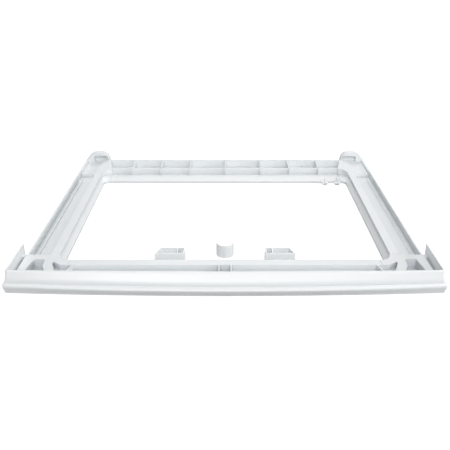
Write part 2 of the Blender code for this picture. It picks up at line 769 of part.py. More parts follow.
# Rear corner block: ledge that turns the corner, rounded wall, end of the trough and the ramp to the foot stop
def rear_corner_block(holes):
    inner = rear_bar_half_length + clearance
    rear = stop_front_depth
    diagonal_end = inner + rear_bar_slope * (rear - rear_diagonal_start)
    wall_start = (rail_inner_wall, corner_wall_depth - corner_wall_reach)
    wall_curve = corner_curve(wall_start, (inner, corner_wall_depth), 7)
    body = wall_curve[::-1]
    body += [(rail_inner_wall, rail_rear_depth), (rail_outer_edge, rail_rear_depth)]
    body += [(rail_outer_edge, rear), (diagonal_end, rear), (inner, rear_diagonal_start)]
    block = extrusion("right_rear_corner_block", body, 0, deck_height, "plan", frame_white)

    lip_curve = corner_curve((rail_inner_edge, rail_rear_depth), (inner, rear_ledge_front), 8)
    wall_line = [(rail_inner_wall, rail_rear_depth)] + wall_curve
    rings = []
    for index, (lip, foot) in enumerate(zip(lip_curve, wall_line)):
        turn = math.radians(90 * max(index - 1, 0) / (len(wall_line) - 2))
        buried = (foot[0] + wall * math.cos(turn), foot[1] + wall * math.sin(turn))
        top = side_ledge_top + (ledge_height - side_ledge_top) * index / (len(wall_line) - 1)
        slope = (top - ledge_lip_height) / math.dist(lip, foot)
        buried_top = ledge_lip_height + slope * math.dist(lip, buried)
        rings.append([(*lip, 0), (*lip, ledge_lip_height), (*buried, buried_top), (*buried, 0)])
    join(block, loft("corner_ledge", rings))

    above = deck_height + overrun
    trough = trough_floor_line() + [(rail_trough_outer, above), (plateau_outer, above)]
    cut(block, extrusion("trough_end", trough, rail_rear_depth - overrun, ramp_front_depth, "along_y"))
    ramp_front_inner = plateau_outer + ramp_front_setback
    ramp_front_outer = rail_trough_outer - ramp_front_setback
    ramp_rear_outer = rail_trough_outer - ramp_rear_setback
    ramp_rear_inner = plateau_outer - ramp_rear_widening
    ramp = []
    for depth, foot, low_x, high_x in (
        (ramp_front_depth - overrun, ramp_front_height, ramp_front_inner, ramp_front_outer),
        (rear + overrun, ramp_rear_height, ramp_rear_inner, ramp_rear_outer),
    ):
        ramp.append([(low_x, depth, foot), (high_x, depth, foot), (high_x, depth, above), (low_x, depth, above)])
    cut(block, loft("ramp", ramp))

    rail_end = rail_rear_depth - clearance
    low = (rail_tongue_low, rail_end - overrun, 0)
    high = (rail_tongue_high, rail_end + tongue_length, tongue_height)
    cut(block, slot_for("rear_rail_slot", low, high))
    low = (inner - overrun, rear_tongue_low, 0)
    high = (rear_tongue_start + tongue_length, rear_tongue_high, tongue_height)
    cut(block, slot_for("rear_bar_slot", low, high))
    cut(block, pad_recess("rear_pad_recess", rear_pad_middle, rear_pad_depth))
    cut(block, *holes)
    return block


# Rear foot stop: a low arch with a mouth that faces the dryer's foot
def rear_foot_stop():
    middle = stop_inner_edge + stop_width / 2
    front = stop_front_depth + clearance
    rings = []
    for depth_share, arch_share in stop_section_shares:
        depth = front + depth_share * stop_depth
        ring = []
        for width_share, height_share in stop_arch_shares:
            across = middle + (width_share * stop_width - stop_width / 2) * arch_share
            ring.append((across, depth, height_share * fascia_height * arch_share))
        rings.append(ring)
    stop = loft("right_rear_foot_stop", rings, frame_white)
    mouth_outer = stop_mouth_inner + stop_mouth_width
    crown = stop_mouth_top - stop_mouth_radius
    mouth = [(stop_mouth_inner, ramp_rear_height), (mouth_outer, ramp_rear_height)]
    mouth += arc((mouth_outer - stop_mouth_radius, crown), stop_mouth_radius, 0, 90, 4)
    mouth += arc((stop_mouth_inner + stop_mouth_radius, crown), stop_mouth_radius, 90, 180, 4)
    cut(stop, extrusion("stop_mouth", mouth, front - overrun, front + stop_mouth_reach, "along_y"))
    rear = front + stop_depth
    inset = 2 * wall
    low = (stop_inner_edge + inset, front + wall, -overrun)
    high = (stop_inner_edge + stop_width - inset, rear - inset, stop_core_height)
    cut(stop, box("stop_core", low, high))
    return stop


# End wing: a thin upright plate behind each end of the front moulding
def end_wing():
    low = (wing_inner_face, wing_front_depth, wing_foot)
    wing = box("right_end_wing", low, (wing_outer_face, wing_rear_depth, wing_height), frame_white)
    web_rear = rail_front_depth
    low = (block_outer_edge + clearance, web_rear - wing_web_length, wing_foot)
    high = (wing_inner_face + wing_thickness / 2, web_rear, deck_height)
    join(wing, box("wing_web", low, high))
    return wing


# Loose bracket: an open box with one slanted end and a partition
def fixing_bracket():
    length = bracket_length
    slant = bracket_slant
    width = bracket_width
    bracket_outline = [(0, 0), (length, 0), (length - slant, width), (0, width)]
    bracket = extrusion("right_bracket", bracket_outline, 0, bracket_height, "plan", accessory_white)
    edge = bracket_wall
    near = slant * edge / width
    inner_cell = (edge, edge, edge)
    inner_high = (edge + bracket_inner_cell, width - edge, bracket_height + overrun)
    cut(bracket, box("bracket_inner_cell", inner_cell, inner_high))
    outer_start = edge + bracket_inner_cell + bracket_partition
    cell = [
        (outer_start, edge),
        (length - near - edge, edge),
        (length - slant + near - edge, width - edge),
        (outer_start, width - edge),
    ]
    cut(bracket, extrusion("bracket_outer_cell", cell, edge, bracket_height + overrun, "plan"))
    for piece in (bracket, bpy.data.objects["bracket_inner_cell"], bpy.data.objects["bracket_outer_cell"]):
        piece.location = (bracket_place, bracket_front_depth, -pad_proud)
    return bracket


def spacer_sleeve():
    """A half-round shell, open at the back, with a shallow groove down its front."""
    inner = sleeve_radius - sleeve_wall
    groove_radius = sleeve_radius - sleeve_groove_depth
    half_groove = math.degrees(math.asin(sleeve_groove_width / 2 / sleeve_radius))
    front = -90
    low = front - sleeve_arc_degrees / 2
    high = front + sleeve_arc_degrees / 2
    outline = arc((0, 0), sleeve_radius, low, front - half_groove, sleeve_steps)
    outline += arc((0, 0), groove_radius, front - half_groove, front + half_groove, 1)
    outline += arc((0, 0), sleeve_radius, front + half_groove, high, sleeve_steps)
    outline += arc((0, 0), inner, high, low, 2 * sleeve_steps)
    sleeve = extrusion("spacer_sleeve", outline, 0, sleeve_height, "plan", accessory_white)
    smooth(sleeve)
    sleeve.location = (0, sleeve_depth, -pad_proud)


def fixing_screw(name, across):
    """A flanged hexagon screw standing on its head."""
    neck = fixing_hex_height + fixing_flange_height
    shank_end = fixing_length - fixing_tip_length
    profile = [
        (0, fixing_length),
        (fixing_shank_radius / 3, fixing_length),
        (fixing_shank_radius, shank_end),
        (fixing_shank_radius, neck),
        (fixing_head_radius, neck),
        (fixing_head_radius, fixing_hex_height),
        (0, fixing_hex_height),
    ]
    screw = turned(name, profile, fixing_steps, accessory_white)
    smooth(screw)
    hex_top = neck - fixing_flange_height / 2
    hex_profile = [(0, hex_top), (fixing_hex_radius, hex_top), (fixing_hex_radius, 0), (0, 0)]
    hexagon = turned(name + "_hexagon", hex_profile, hexagon_sides)
    join(screw, hexagon)
    screw.location = (across, fixing_depth, -pad_proud)
    hexagon.location = screw.location


front_fascia()

front_bar_screw = front_bar_half_length + tongue_length / 2
rear_bar_screw = rear_tongue_start + tongue_length / 2
front_bar_screw_depth = (front_tongue_low + front_tongue_high) / 2
rear_bar_screw_depth = (rear_tongue_low + rear_tongue_high) / 2
front_rail_screw_depth = rail_front_depth + clearance - tongue_length / 2
rear_rail_screw_depth = rail_rear_depth - clearance + tongue_length / 2
joint_screws = {}
for label, across, depth in (
    ("front_crossbar", front_bar_screw, front_bar_screw_depth),
    ("front_rail", rail_screw_place, front_rail_screw_depth),
    ("rear_crossbar", rear_bar_screw, rear_bar_screw_depth),
    ("rear_rail", rail_screw_place, rear_rail_screw_depth),
):
    for side, sign in (("right", 1), ("left", -1)):
        joint_screws[side, label] = joint_screw(f"{side}_{label}_screw", sign * across, depth)

front_crossbar([joint_screws[side, "front_crossbar"] for side in ("right", "left")])
rear_crossbar([joint_screws[side, "rear_crossbar"] for side in ("right", "left")])
right_pieces = [
    side_rail([joint_screws["right", "front_rail"], joint_screws["right", "rear_rail"]]),
    front_corner_block([joint_screws["right", "front_rail"], joint_screws["right", "front_crossbar"]]),
    rear_corner_block([joint_screws["right", "rear_rail"], joint_screws["right", "rear_crossbar"]]),
    rear_foot_stop(),
    end_wing(),
    box("right_front_pad", *pad_box(front_pad_middle, front_pad_depth), pad_rubber),
    box("right_rear_pad", *pad_box(rear_pad_middle, rear_pad_depth), pad_rubber),
    fixing_bracket(),
]
for piece in right_pieces:
    as_left(piece)

spacer_sleeve()
for number, setback in enumerate(fixing_setbacks, start=1):
    fixing_screw(f"fixing_screw_{number}", rail_inner_edge - setback)
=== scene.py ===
# %% [markdown]
# # A stacking kit in cells
# This scene dresses a washer and dryer stacking kit: a low white frame, moulded in plastic, that
# sits between the two machines, with a few loose parts laid inside it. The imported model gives
# every solid in metres, with X to the right, Y to the back and Z up. Each step below takes one
# piece or one finish and explains how it is made.

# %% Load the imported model
import json
import math

import bmesh
import bpy
from mathutils import Matrix, Vector


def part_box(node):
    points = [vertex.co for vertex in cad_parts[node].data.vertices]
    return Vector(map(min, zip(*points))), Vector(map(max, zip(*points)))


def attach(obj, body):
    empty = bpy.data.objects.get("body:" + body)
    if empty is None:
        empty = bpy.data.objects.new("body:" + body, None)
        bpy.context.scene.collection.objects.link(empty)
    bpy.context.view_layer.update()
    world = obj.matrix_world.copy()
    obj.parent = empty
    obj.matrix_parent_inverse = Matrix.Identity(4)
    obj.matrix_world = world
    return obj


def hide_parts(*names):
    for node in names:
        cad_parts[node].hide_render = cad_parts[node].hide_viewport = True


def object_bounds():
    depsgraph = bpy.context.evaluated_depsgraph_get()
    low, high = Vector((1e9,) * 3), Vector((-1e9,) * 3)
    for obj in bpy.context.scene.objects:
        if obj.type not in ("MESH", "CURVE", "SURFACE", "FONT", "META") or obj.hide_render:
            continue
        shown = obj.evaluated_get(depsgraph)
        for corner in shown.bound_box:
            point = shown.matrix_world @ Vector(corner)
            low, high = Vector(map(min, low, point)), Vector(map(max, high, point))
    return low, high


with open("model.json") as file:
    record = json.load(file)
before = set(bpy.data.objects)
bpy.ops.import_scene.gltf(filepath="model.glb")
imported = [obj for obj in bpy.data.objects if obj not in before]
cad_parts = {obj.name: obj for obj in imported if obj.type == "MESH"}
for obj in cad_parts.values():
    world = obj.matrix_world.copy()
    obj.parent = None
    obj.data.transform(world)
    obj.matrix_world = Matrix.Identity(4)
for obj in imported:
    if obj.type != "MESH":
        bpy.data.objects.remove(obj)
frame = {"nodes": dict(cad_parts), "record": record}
nodes = frame["nodes"]
cad_box = [list(corner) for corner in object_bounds()]

# %% [markdown]
# ## Helpers for objects and nodes
# Every object is linked into the scene in the same way. Every node tree below, of a shader or of
# a geometry, is laid node by node: one call adds the node, sets what it does, and fills each
# input with a number or with a link.

# %% Build the helpers for objects and nodes
def in_scene(name, data):
    """A new object with the given data, linked into the scene."""
    thing = bpy.data.objects.new(name, data)
    bpy.context.scene.collection.objects.link(thing)
    return thing


def lay(tree, kind, values, **settings):
    """Adds a node with its settings, and links or sets its inputs by their name or number."""
    node = tree.nodes.new(kind)
    for label, setting in settings.items():
        setattr(node, label, setting)
    for label, value in values.items():
        if isinstance(value, bpy.types.NodeSocket):
            tree.links.new(value, node.inputs[label])
        else:
            node.inputs[label].default_value = value
    return node


def calculate(tree, operation, *terms):
    """A Math node over sockets and numbers; returns its result."""
    return lay(tree, "ShaderNodeMath", dict(enumerate(terms)), operation=operation).outputs[0]


def rescaled(tree, value, low, high, new_low, new_high, **settings):
    """A Map Range node that takes a value from one range to another and holds it there."""
    names = ("Value", "From Min", "From Max", "To Min", "To Max")
    values = dict(zip(names, (value, low, high, new_low, new_high)))
    return lay(tree, "ShaderNodeMapRange", values, **settings).outputs["Result"]


print("objects and nodes can be made")

# %% [markdown]
# ## The camera
# A camera that is tilted down, and not shifted, gives the same convergence of the upright edges
# as the photograph has.

# %% Set the camera
CAMERA_PLACE = Vector((0.0, -0.98245, 0.4385))
CAMERA_PITCH = math.radians(24.84)
CAMERA_LENS = 49.6
SENSOR_WIDTH = 36.0

camera_data = bpy.data.cameras.new("camera")
camera_data.lens = CAMERA_LENS
camera_data.sensor_width = SENSOR_WIDTH
camera = in_scene("camera", camera_data)
camera.location = CAMERA_PLACE
camera.rotation_euler = (math.radians(90) - CAMERA_PITCH, 0, 0)
bpy.context.scene.camera = camera
bpy.context.scene.view_settings.view_transform = "Standard"
print("lens", CAMERA_LENS, "mm, pitch", round(math.degrees(CAMERA_PITCH), 2), "degrees")

# %% [markdown]
# ## Floor and world
# The world works in the same way: it is white to look at and dim as a lamp, so that the white of
# the page never falls on the plastic as light.

# %% Build the switch for rays that look
def looking_rays(tree):
    """A value of 1 for camera, glossy and transmission rays, and 0 for rays that carry light."""
    path = tree.nodes.new("ShaderNodeLightPath").outputs
    value = path["Is Camera Ray"]
    for name in ("Is Glossy Ray", "Is Transmission Ray"):
        value = calculate(tree, "MAXIMUM", value, path[name])
    return value


print("rays that look: camera, glossy and transmission")

# %% Lay the floor
FLOOR_HALF = 6.0
FLOOR_WHITE = 0.42
FLOOR_GLOW = 0.76
GLOW_START = 0.8
GLOW_END = 3.0
WHITE = (1, 1, 1, 1)

floor_mesh = bpy.data.meshes.new("floor")
corners = [(x * FLOOR_HALF, y * FLOOR_HALF, 0) for x, y in ((-1, -1), (1, -1), (1, 1), (-1, 1))]
floor_mesh.from_pydata(corners, [], [(0, 1, 2, 3)])
in_scene("floor", floor_mesh)

floor_paint = bpy.data.materials.new("floor_paint")
floor_paint.use_nodes = True
tree = floor_paint.node_tree
paint = tree.nodes["Principled BSDF"].inputs
paint["Base Color"].default_value = (FLOOR_WHITE, FLOOR_WHITE, FLOOR_WHITE, 1)
paint["Roughness"].default_value = 1.0
paint["Specular IOR Level"].default_value = 0.0
paint["Emission Color"].default_value = WHITE
place = tree.nodes.new("ShaderNodeTexCoord").outputs["Object"]
reach = lay(tree, "ShaderNodeVectorMath", {0: place}, operation="LENGTH").outputs["Value"]
lift = rescaled(
    tree, reach, GLOW_START, GLOW_END, FLOOR_GLOW, 1.0, interpolation_type="SMOOTHSTEP"
)
glow = calculate(tree, "MULTIPLY", looking_rays(tree), lift)
tree.links.new(glow, paint["Emission Strength"])
floor_mesh.materials.append(floor_paint)
print("floor", 2 * FLOOR_HALF, "m across")

# %% Colour the world
WORLD_STRENGTH = 0.02

world = bpy.data.worlds.new("studio")
bpy.context.scene.world = world
world.use_nodes = True
tree = world.node_tree
strengths = {0: looking_rays(tree), 2: WORLD_STRENGTH, 3: 1.0}
level = lay(tree, "ShaderNodeMix", strengths, data_type="FLOAT")
background = tree.nodes["Background"].inputs
background["Color"].default_value = WHITE
tree.links.new(level.outputs[0], background["Strength"])
print("world lights with strength", WORLD_STRENGTH)

# %% [markdown]
# ## Six softboxes
# In the photograph the walls that face right are brighter than those that face left, the cove of
# the front moulding is as bright as the tops, and its undercut foot and the sunk floors are
# darker. One low lamp at each side lifts the walls that face it, the right one more. Two above
# and behind light the tops. All are large, because large lamps make soft shadows.

# %% Hang the lamps
LAMPS = {
    "front_right_softbox": {"place": (1.70, -2.90, 3.00), "size": 1.6, "power": 50},
    "front_softbox": {"place": (-0.70, -4.20, 2.80), "size": 2.4, "power": 120},
    "right_softbox": {"place": (2.60, -0.50, 0.80), "size": 1.2, "power": 34},
    "left_softbox": {"place": (-2.60, -0.50, 0.80), "size": 1.2, "power": 7},
    "rear_top_softbox": {"place": (0.0, 1.70, 1.60), "size": 1.4, "power": 23},
    "top_softbox": {"place": (0.0, 0.0, 2.30), "size": 2.0, "power": 6},
}
AIM = Vector((0.0, 0.0, 0.0))

for name, lamp in LAMPS.items():
    data = bpy.data.lights.new(name, "AREA")
    data.shape = "SQUARE"
    data.size = lamp["size"]
    data.energy = lamp["power"]
    hung = in_scene(name, data)
    hung.location = lamp["place"]
    hung.rotation_euler = (AIM - hung.location).to_track_quat("-Z", "Y").to_euler()
    print(name, lamp["power"], "W at", lamp["place"])

# %% [markdown]
# ## What moulded plastic looks like
# A plastic moulding is one colour, but never quite even. Its mould was spark-eroded or polished,
# which leaves a very fine grain. The melt flows and shrinks, which leaves slow waves in the
# gloss. Handling rounds and polishes the edges. Each of these effects is a shader group with
# named inputs, so that every material below can use it at its own size.

# %% Build the helpers for shader groups
def shader_group(name, inputs, outputs):
    """An empty shader group with value inputs, given with their defaults, and value outputs."""
    group = bpy.data.node_groups.new(name, "ShaderNodeTree")
    value = "NodeSocketFloat"
    for label, default in inputs.items():
        socket = group.interface.new_socket(label, in_out="INPUT", socket_type=value)
        socket.default_value = default
    for label in outputs:
        group.interface.new_socket(label, in_out="OUTPUT", socket_type=value)
    return group, group.nodes.new("NodeGroupInput"), group.nodes.new("NodeGroupOutput")


def object_noise(tree, scale, detail):
    """Noise over Object coordinates, with its scale in waves per metre."""
    place = tree.nodes.new("ShaderNodeTexCoord").outputs["Object"]
    values = {"Vector": place, "Scale": scale, "Detail": detail}
    return lay(tree, "ShaderNodeTexNoise", values).outputs["Fac"]


print("helpers for shader groups are ready")

# %% [markdown]
# ### The grain of the mould
# The grain is finer than half a millimetre, so it is never seen as bumps, only as a soft breaking
# of the gloss. A noise with a few octaves gives its height. A second noise, centimetres wide,
# stands for the slow waves of shrinkage.

# %% Group: mould grain
GRAIN_DETAIL = 3.0
WAVE_DETAIL = 1.0
NOISE_MIDDLE = 0.5

grain_sizes = {
    "Grain Scale": 1800.0,
    "Wave Scale": 14.0,
    "Wave Share": 0.5,
    "Roughness": 0.4,
    "Roughness Spread": 0.06,
}
mould_grain, given, made = shader_group("mould_grain", grain_sizes, ("Height", "Roughness"))
grain = object_noise(mould_grain, given.outputs["Grain Scale"], GRAIN_DETAIL)
waves = object_noise(mould_grain, given.outputs["Wave Scale"], WAVE_DETAIL)
wave_height = calculate(mould_grain, "MULTIPLY", waves, given.outputs["Wave Share"])
mould_grain.links.new(calculate(mould_grain, "ADD", grain, wave_height), made.inputs["Height"])
level = given.outputs["Roughness"]
for noise in (waves, grain):
    drift = calculate(mould_grain, "SUBTRACT", noise, NOISE_MIDDLE)
    drift = calculate(mould_grain, "MULTIPLY", drift, given.outputs["Roughness Spread"])
    level = calculate(mould_grain, "ADD", level, drift)
mould_grain.links.new(level, made.inputs["Roughness"])
print("mould_grain has", len(mould_grain.nodes), "nodes")

# %% [markdown]
# ### Edges and corners
# Cycles knows how sharply the mesh bends at each point, which Blender calls pointiness. Outer
# edges are handled and rubbed, so they turn a touch lighter and smoother. Inner creases get a
# mask of their own, with which each material paints its shade colour into them, as painted shade.
# A noise breaks both masks up, so that neither is even.

# %% Group: edge wear
PATCH_DETAIL = 2.0
PATCH_SPAN = (0.35, 0.65)
LEAST_PATCH = 0.4

wear_and_crease_sizes = {
    "Edge Low": 0.505,
    "Edge High": 0.56,
    "Corner Low": 0.495,
    "Corner High": 0.44,
    "Patch Scale": 90.0,
}
edge_wear_and_crease_shade, given, made = shader_group("edge_wear_and_crease_shade", wear_and_crease_sizes, ("Edge", "Corner"))
bend = edge_wear_and_crease_shade.nodes.new("ShaderNodeNewGeometry").outputs["Pointiness"]
patches = object_noise(edge_wear_and_crease_shade, given.outputs["Patch Scale"], PATCH_DETAIL)
patches = rescaled(edge_wear_and_crease_shade, patches, *PATCH_SPAN, LEAST_PATCH, 1.0)
# The Corner mask marks inner creases, where each material paints its shade colour.
for mask in ("Edge", "Corner"):
    span = (given.outputs[f"{mask} Low"], given.outputs[f"{mask} High"])
    bent = rescaled(edge_wear_and_crease_shade, bend, *span, 0.0, 1.0)
    edge_wear_and_crease_shade.links.new(calculate(edge_wear_and_crease_shade, "MULTIPLY", bent, patches), made.inputs[mask])
print("edge_wear_and_crease_shade has", len(edge_wear_and_crease_shade.nodes), "nodes")

# %% [markdown]
# ### Recesses
# Troughs, pockets and trays of the frame are sunk, and their floors and the foot of every wall
# are painted a little greyer than the tops, which is painted shade. An Ambient Occlusion node
# tells how much of the space within a given reach is closed off by the same piece. A long reach
# finds the sunk floors, and a short one a fine dark line along the foot of every wall. Both leave
# the group as shade masks, and each material decides how far they pull it to its shade colour.

# %% Group: recess
RECESS_SAMPLES = 8

recess_sizes = {"Floor Reach": 0.016, "Line Reach": 0.003}
recess, given, made = shader_group("recess", recess_sizes, ("Floor", "Line"))
for mask in ("Floor", "Line"):
    open_share = lay(
        recess,
        "ShaderNodeAmbientOcclusion",
        {"Distance": given.outputs[f"{mask} Reach"]},
        only_local=True,
        samples=RECESS_SAMPLES,
    ).outputs["AO"]
    recess.links.new(calculate(recess, "SUBTRACT", 1.0, open_share), made.inputs[mask])
print("recess has", len(recess.nodes), "nodes")

# %% [markdown]
# ### Putting a material together
# The shader itself stays in the material. The groups only feed its Base Color, its Roughness and
# the Height of a Bump node. The base colour drifts by a hundredth or two between slow patches and
# moves towards the edge colour where the part is rubbed. It is painted towards its shade colour
# in inner creases, on sunk floors and along the foot of a wall, each by its own share. That is
# painted shade, except on the rubber, whose shade colour is lighter and stands for dust.

# %% Build a moulded material
DRIFT_SCALE = 9.0
DRIFT_DETAIL = 1.0
DRIFT_SPAN = (0.3, 0.7)
EDGE_POLISH = 0.1


def blended(tree, share, first, second):
    """A colour that goes from the first to the second as the share goes from 0 to 1."""
    socket = bpy.types.NodeSocket
    ends = [end if isinstance(end, socket) else (*end, 1.0) for end in (first, second)]
    values = dict(zip((0, 6, 7), (share, *ends)))
    return lay(tree, "ShaderNodeMix", values, data_type="RGBA").outputs[2]


def moulded(name, colours, grain, wear_and_shade, bump_distance, bump_strength=0.5):
    """A material with grain, slow colour drift, rubbed edges, and shade painted into hollows."""
    colour, drifted, edge_colour, shade_and_dust_colour = colours
    material = bpy.data.materials.new(name)
    material.use_nodes = True
    tree = material.node_tree
    shader = tree.nodes["Principled BSDF"].inputs
    surface = lay(tree, "ShaderNodeGroup", grain, node_tree=mould_grain).outputs
    edges = lay(tree, "ShaderNodeGroup", {}, node_tree=edge_wear_and_crease_shade).outputs
    sunk = lay(tree, "ShaderNodeGroup", {"Floor Reach": wear_and_shade["reach"]}, node_tree=recess).outputs
    drift = rescaled(tree, object_noise(tree, DRIFT_SCALE, DRIFT_DETAIL), *DRIFT_SPAN, 0.0, 1.0)
    rubbed = calculate(tree, "MULTIPLY", edges["Edge"], wear_and_shade["edge"])
    paint = blended(tree, drift, colour, drifted)
    paint = blended(tree, rubbed, paint, edge_colour)
    # Painted shade: the colour is pulled towards the shade colour in creases, sunk floors and
    # wall feet.
    greyed = {"corner": edges["Corner"], "floor": sunk["Floor"], "line": sunk["Line"]}
    for key, mask in greyed.items():
        paint = blended(tree, calculate(tree, "MULTIPLY", mask, wear_and_shade[key]), paint, shade_and_dust_colour)
    tree.links.new(paint, shader["Base Color"])
    polish = calculate(tree, "MULTIPLY", rubbed, EDGE_POLISH)
    rough = calculate(tree, "SUBTRACT", surface["Roughness"], polish)
    tree.links.new(rough, shader["Roughness"])
    sizes = {"Distance": bump_distance, "Strength": bump_strength, "Height": surface["Height"]}
    bump = lay(tree, "ShaderNodeBump", sizes)
    tree.links.new(bump.outputs["Normal"], shader["Normal"])
    return material


print("moulded materials can be made")

# %% [markdown]
# ## The finishes
# The front moulding is what a person sees in the laundry, so its mould is polished and the
# plastic shines a little. The frame behind it has the satin skin of a plain technical part. The
# loose parts come from a cheaper mould, in a slightly cooler and milkier plastic. The whites lie
# between 0.78 and 0.89, not at 1, as white plastics do. Each material has four colours: its own,
# the one it drifts to, the one of rubbed edges and the shade colour painted into its hollows.
#
# The frame's satin comes in three kinds, lit and shaded copies that differ only in how much shade
# is painted into their recesses. The rails and the front bar are painted greyer where they are
# sunk. The pockets in the front corners are narrow and deep, so there the painted shade reaches
# further. At the rear, which is lighter, the painted shade is faint.

# %% Make the white plastics
FINE_BUMP = 0.00001
SATIN_SPECULAR = 0.3

fascia_gloss = moulded(
    "fascia_gloss",
    ((0.855, 0.876, 0.886), (0.845, 0.868, 0.879), (0.87, 0.89, 0.90), (0.60, 0.63, 0.645)),
    {"Grain Scale": 2400.0, "Wave Share": 1.2, "Roughness": 0.34, "Roughness Spread": 0.08},
    {"edge": 0.35, "corner": 0.25, "floor": 0.3, "line": 0.4, "reach": 0.006},
    bump_distance=FINE_BUMP,
)
frame_colours = (
    (0.795, 0.820, 0.832),
    (0.782, 0.809, 0.822),
    (0.83, 0.85, 0.86),
    (0.42, 0.45, 0.47),
)
frame_grain = {"Grain Scale": 1500.0, "Roughness": 0.47, "Roughness Spread": 0.10}
# Shares and reaches of the shade painted into the recesses of each kind of satin.
FRAME_PAINTED_SHADE = {
    "frame_satin": {"floor": 0.62, "reach": 0.018},
    "frame_satin_rear": {"floor": 0.18, "reach": 0.012},
    "frame_satin_pocket": {"floor": 0.75, "reach": 0.034},
}
satins = {}
for name, sunk in FRAME_PAINTED_SHADE.items():
    wear_and_shade = {"edge": 0.4, "corner": 0.15, "line": 0.5, **sunk}
    satins[name] = moulded(name, frame_colours, frame_grain, wear_and_shade, FINE_BUMP)
    satin_shader = satins[name].node_tree.nodes["Principled BSDF"].inputs
    satin_shader["Specular IOR Level"].default_value = SATIN_SPECULAR
accessory_milky = moulded(
    "accessory_milky",
    ((0.845, 0.868, 0.875), (0.832, 0.857, 0.866), (0.87, 0.89, 0.895), (0.70, 0.73, 0.74)),
    {"Grain Scale": 1300.0, "Roughness": 0.42, "Roughness Spread": 0.12},
    {"edge": 0.45, "corner": 0.2, "floor": 0.2, "line": 0.2, "reach": 0.01},
    bump_distance=0.000012,
)
print("five white plastics")

# %% [markdown]
# ## Rubber and steel
# The pads under the corners are dark rubber, dull and a little mottled. The short screws that
# hold the tongues are zinc-plated steel, whose colour wanders between grey and a faint blue, with
# darker patches where the plating is thin.

# %% Make the rubber and the steel
pad_rubber = moulded(
    "pad_rubber_grey",
    ((0.045, 0.046, 0.048), (0.060, 0.060, 0.062), (0.09, 0.09, 0.092), (0.12, 0.118, 0.112)),
    {"Grain Scale": 900.0, "Wave Share": 0.2, "Roughness": 0.82, "Roughness Spread": 0.14},
    {"edge": 0.5, "corner": 0.4, "floor": 0.2, "line": 0.1, "reach": 0.002},
    bump_distance=0.0001,
    bump_strength=0.8,
)
steel_grain = {
    "Grain Scale": 2600.0,
    "Wave Scale": 160.0,
    "Wave Share": 0.8,
    "Roughness": 0.33,
    "Roughness Spread": 0.16,
}
screw_steel = moulded(
    "screw_steel_zinc",
    ((0.60, 0.61, 0.63), (0.54, 0.56, 0.60), (0.70, 0.71, 0.72), (0.30, 0.30, 0.31)),
    steel_grain,
    {"edge": 0.5, "corner": 0.5, "floor": 0.3, "line": 0.2, "reach": 0.002},
    bump_distance=0.00003,
)
screw_steel.node_tree.nodes["Principled BSDF"].inputs["Metallic"].default_value = 1.0
# The faint-shade and deep-shade whites are the frame's satin with less and more painted shade.
FINISHES = {
    "fascia_white": fascia_gloss,
    "frame_white": satins["frame_satin"],
    "frame_white_faint_shade": satins["frame_satin_rear"],
    "frame_white_deep_shade": satins["frame_satin_pocket"],
    "accessory_white": accessory_milky,
    "pad_rubber": pad_rubber,
    "screw_steel": screw_steel,
}
print("finishes:", ", ".join(sorted(FINISHES)))

# %% [markdown]
# ## Softening a moulding's edges
# No moulded edge is truly sharp: the mould gives each one a small radius, and that radius catches
# a thin line of light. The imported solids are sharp, so a copy of each is merged, its flat faces
# are joined up, and a narrow bevel goes round every edge that turns by more than 30 degrees.
# Normals weighted by area keep the flats flat, so that only the bevels shade round. The overlap
# is clamped, so that a bevel never folds over where two edges meet closely.

# %% Build the helpers that clean a mesh
FLAT_WITHIN = math.radians(0.5)
MERGE_WITHIN = 0.00001


def mesh_from(bm, name, outwards=True):
    """Takes a bmesh into a new mesh, with its normals turned outwards, and frees it."""
    if outwards:
        bmesh.ops.recalc_face_normals(bm, faces=bm.faces)
    mesh = bpy.data.meshes.new(name)
    bm.to_mesh(mesh)
    bm.free()
    return mesh


def cleaned(bm, name):
    """A mesh from a bmesh: doubles merged, normals outwards, flat faces joined, no UV maps."""
    bmesh.ops.remove_doubles(bm, verts=bm.verts, dist=MERGE_WITHIN)
    bmesh.ops.recalc_face_normals(bm, faces=bm.faces)
    bmesh.ops.dissolve_limit(bm, angle_limit=FLAT_WITHIN, verts=bm.verts, edges=bm.edges)
    for layer in list(bm.loops.layers.uv.values()):
        bm.loops.layers.uv.remove(layer)
    return mesh_from(bm, name, outwards=False)


def copied(node, name):
    """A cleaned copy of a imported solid's mesh."""
    bm = bmesh.new()
    bm.from_mesh(nodes[node].data)
    return cleaned(bm, name)


print("faces that turn by less than", round(math.degrees(FLAT_WITHIN), 1), "degrees are joined")

# %% Build the helpers that soften a piece
SMOOTH_UNDER = math.radians(30)
FLAT_WEIGHT = 100
SOFT_SEGMENTS = 3
SHELL_SEGMENTS = 2


def as_plain_mesh(piece):
    """Takes a piece through its modifiers, and leaves the result as its own mesh."""
    graph = bpy.context.evaluated_depsgraph_get()
    mesh = bpy.data.meshes.new_from_object(piece.evaluated_get(graph))
    piece.modifiers.clear()
    piece.data = mesh
    return piece


def softened(piece, width, segments=SOFT_SEGMENTS):
    """Bevels the sharp edges of a piece, and turns the result into its plain mesh."""
    bevel = piece.modifiers.new("Soft edge", "BEVEL")
    bevel.width = width
    bevel.segments = segments
    bevel.limit_method = "ANGLE"
    bevel.angle_limit = SMOOTH_UNDER
    bevel.use_clamp_overlap = True
    flats = piece.modifiers.new("Flat faces", "WEIGHTED_NORMAL")
    flats.mode = "FACE_AREA_WITH_ANGLE"
    flats.weight = FLAT_WEIGHT
    flats.keep_sharp = True
    piece.data.shade_smooth()
    return as_plain_mesh(piece)


print("edges that turn by", round(math.degrees(SMOOTH_UNDER)), "degrees or more are softened")

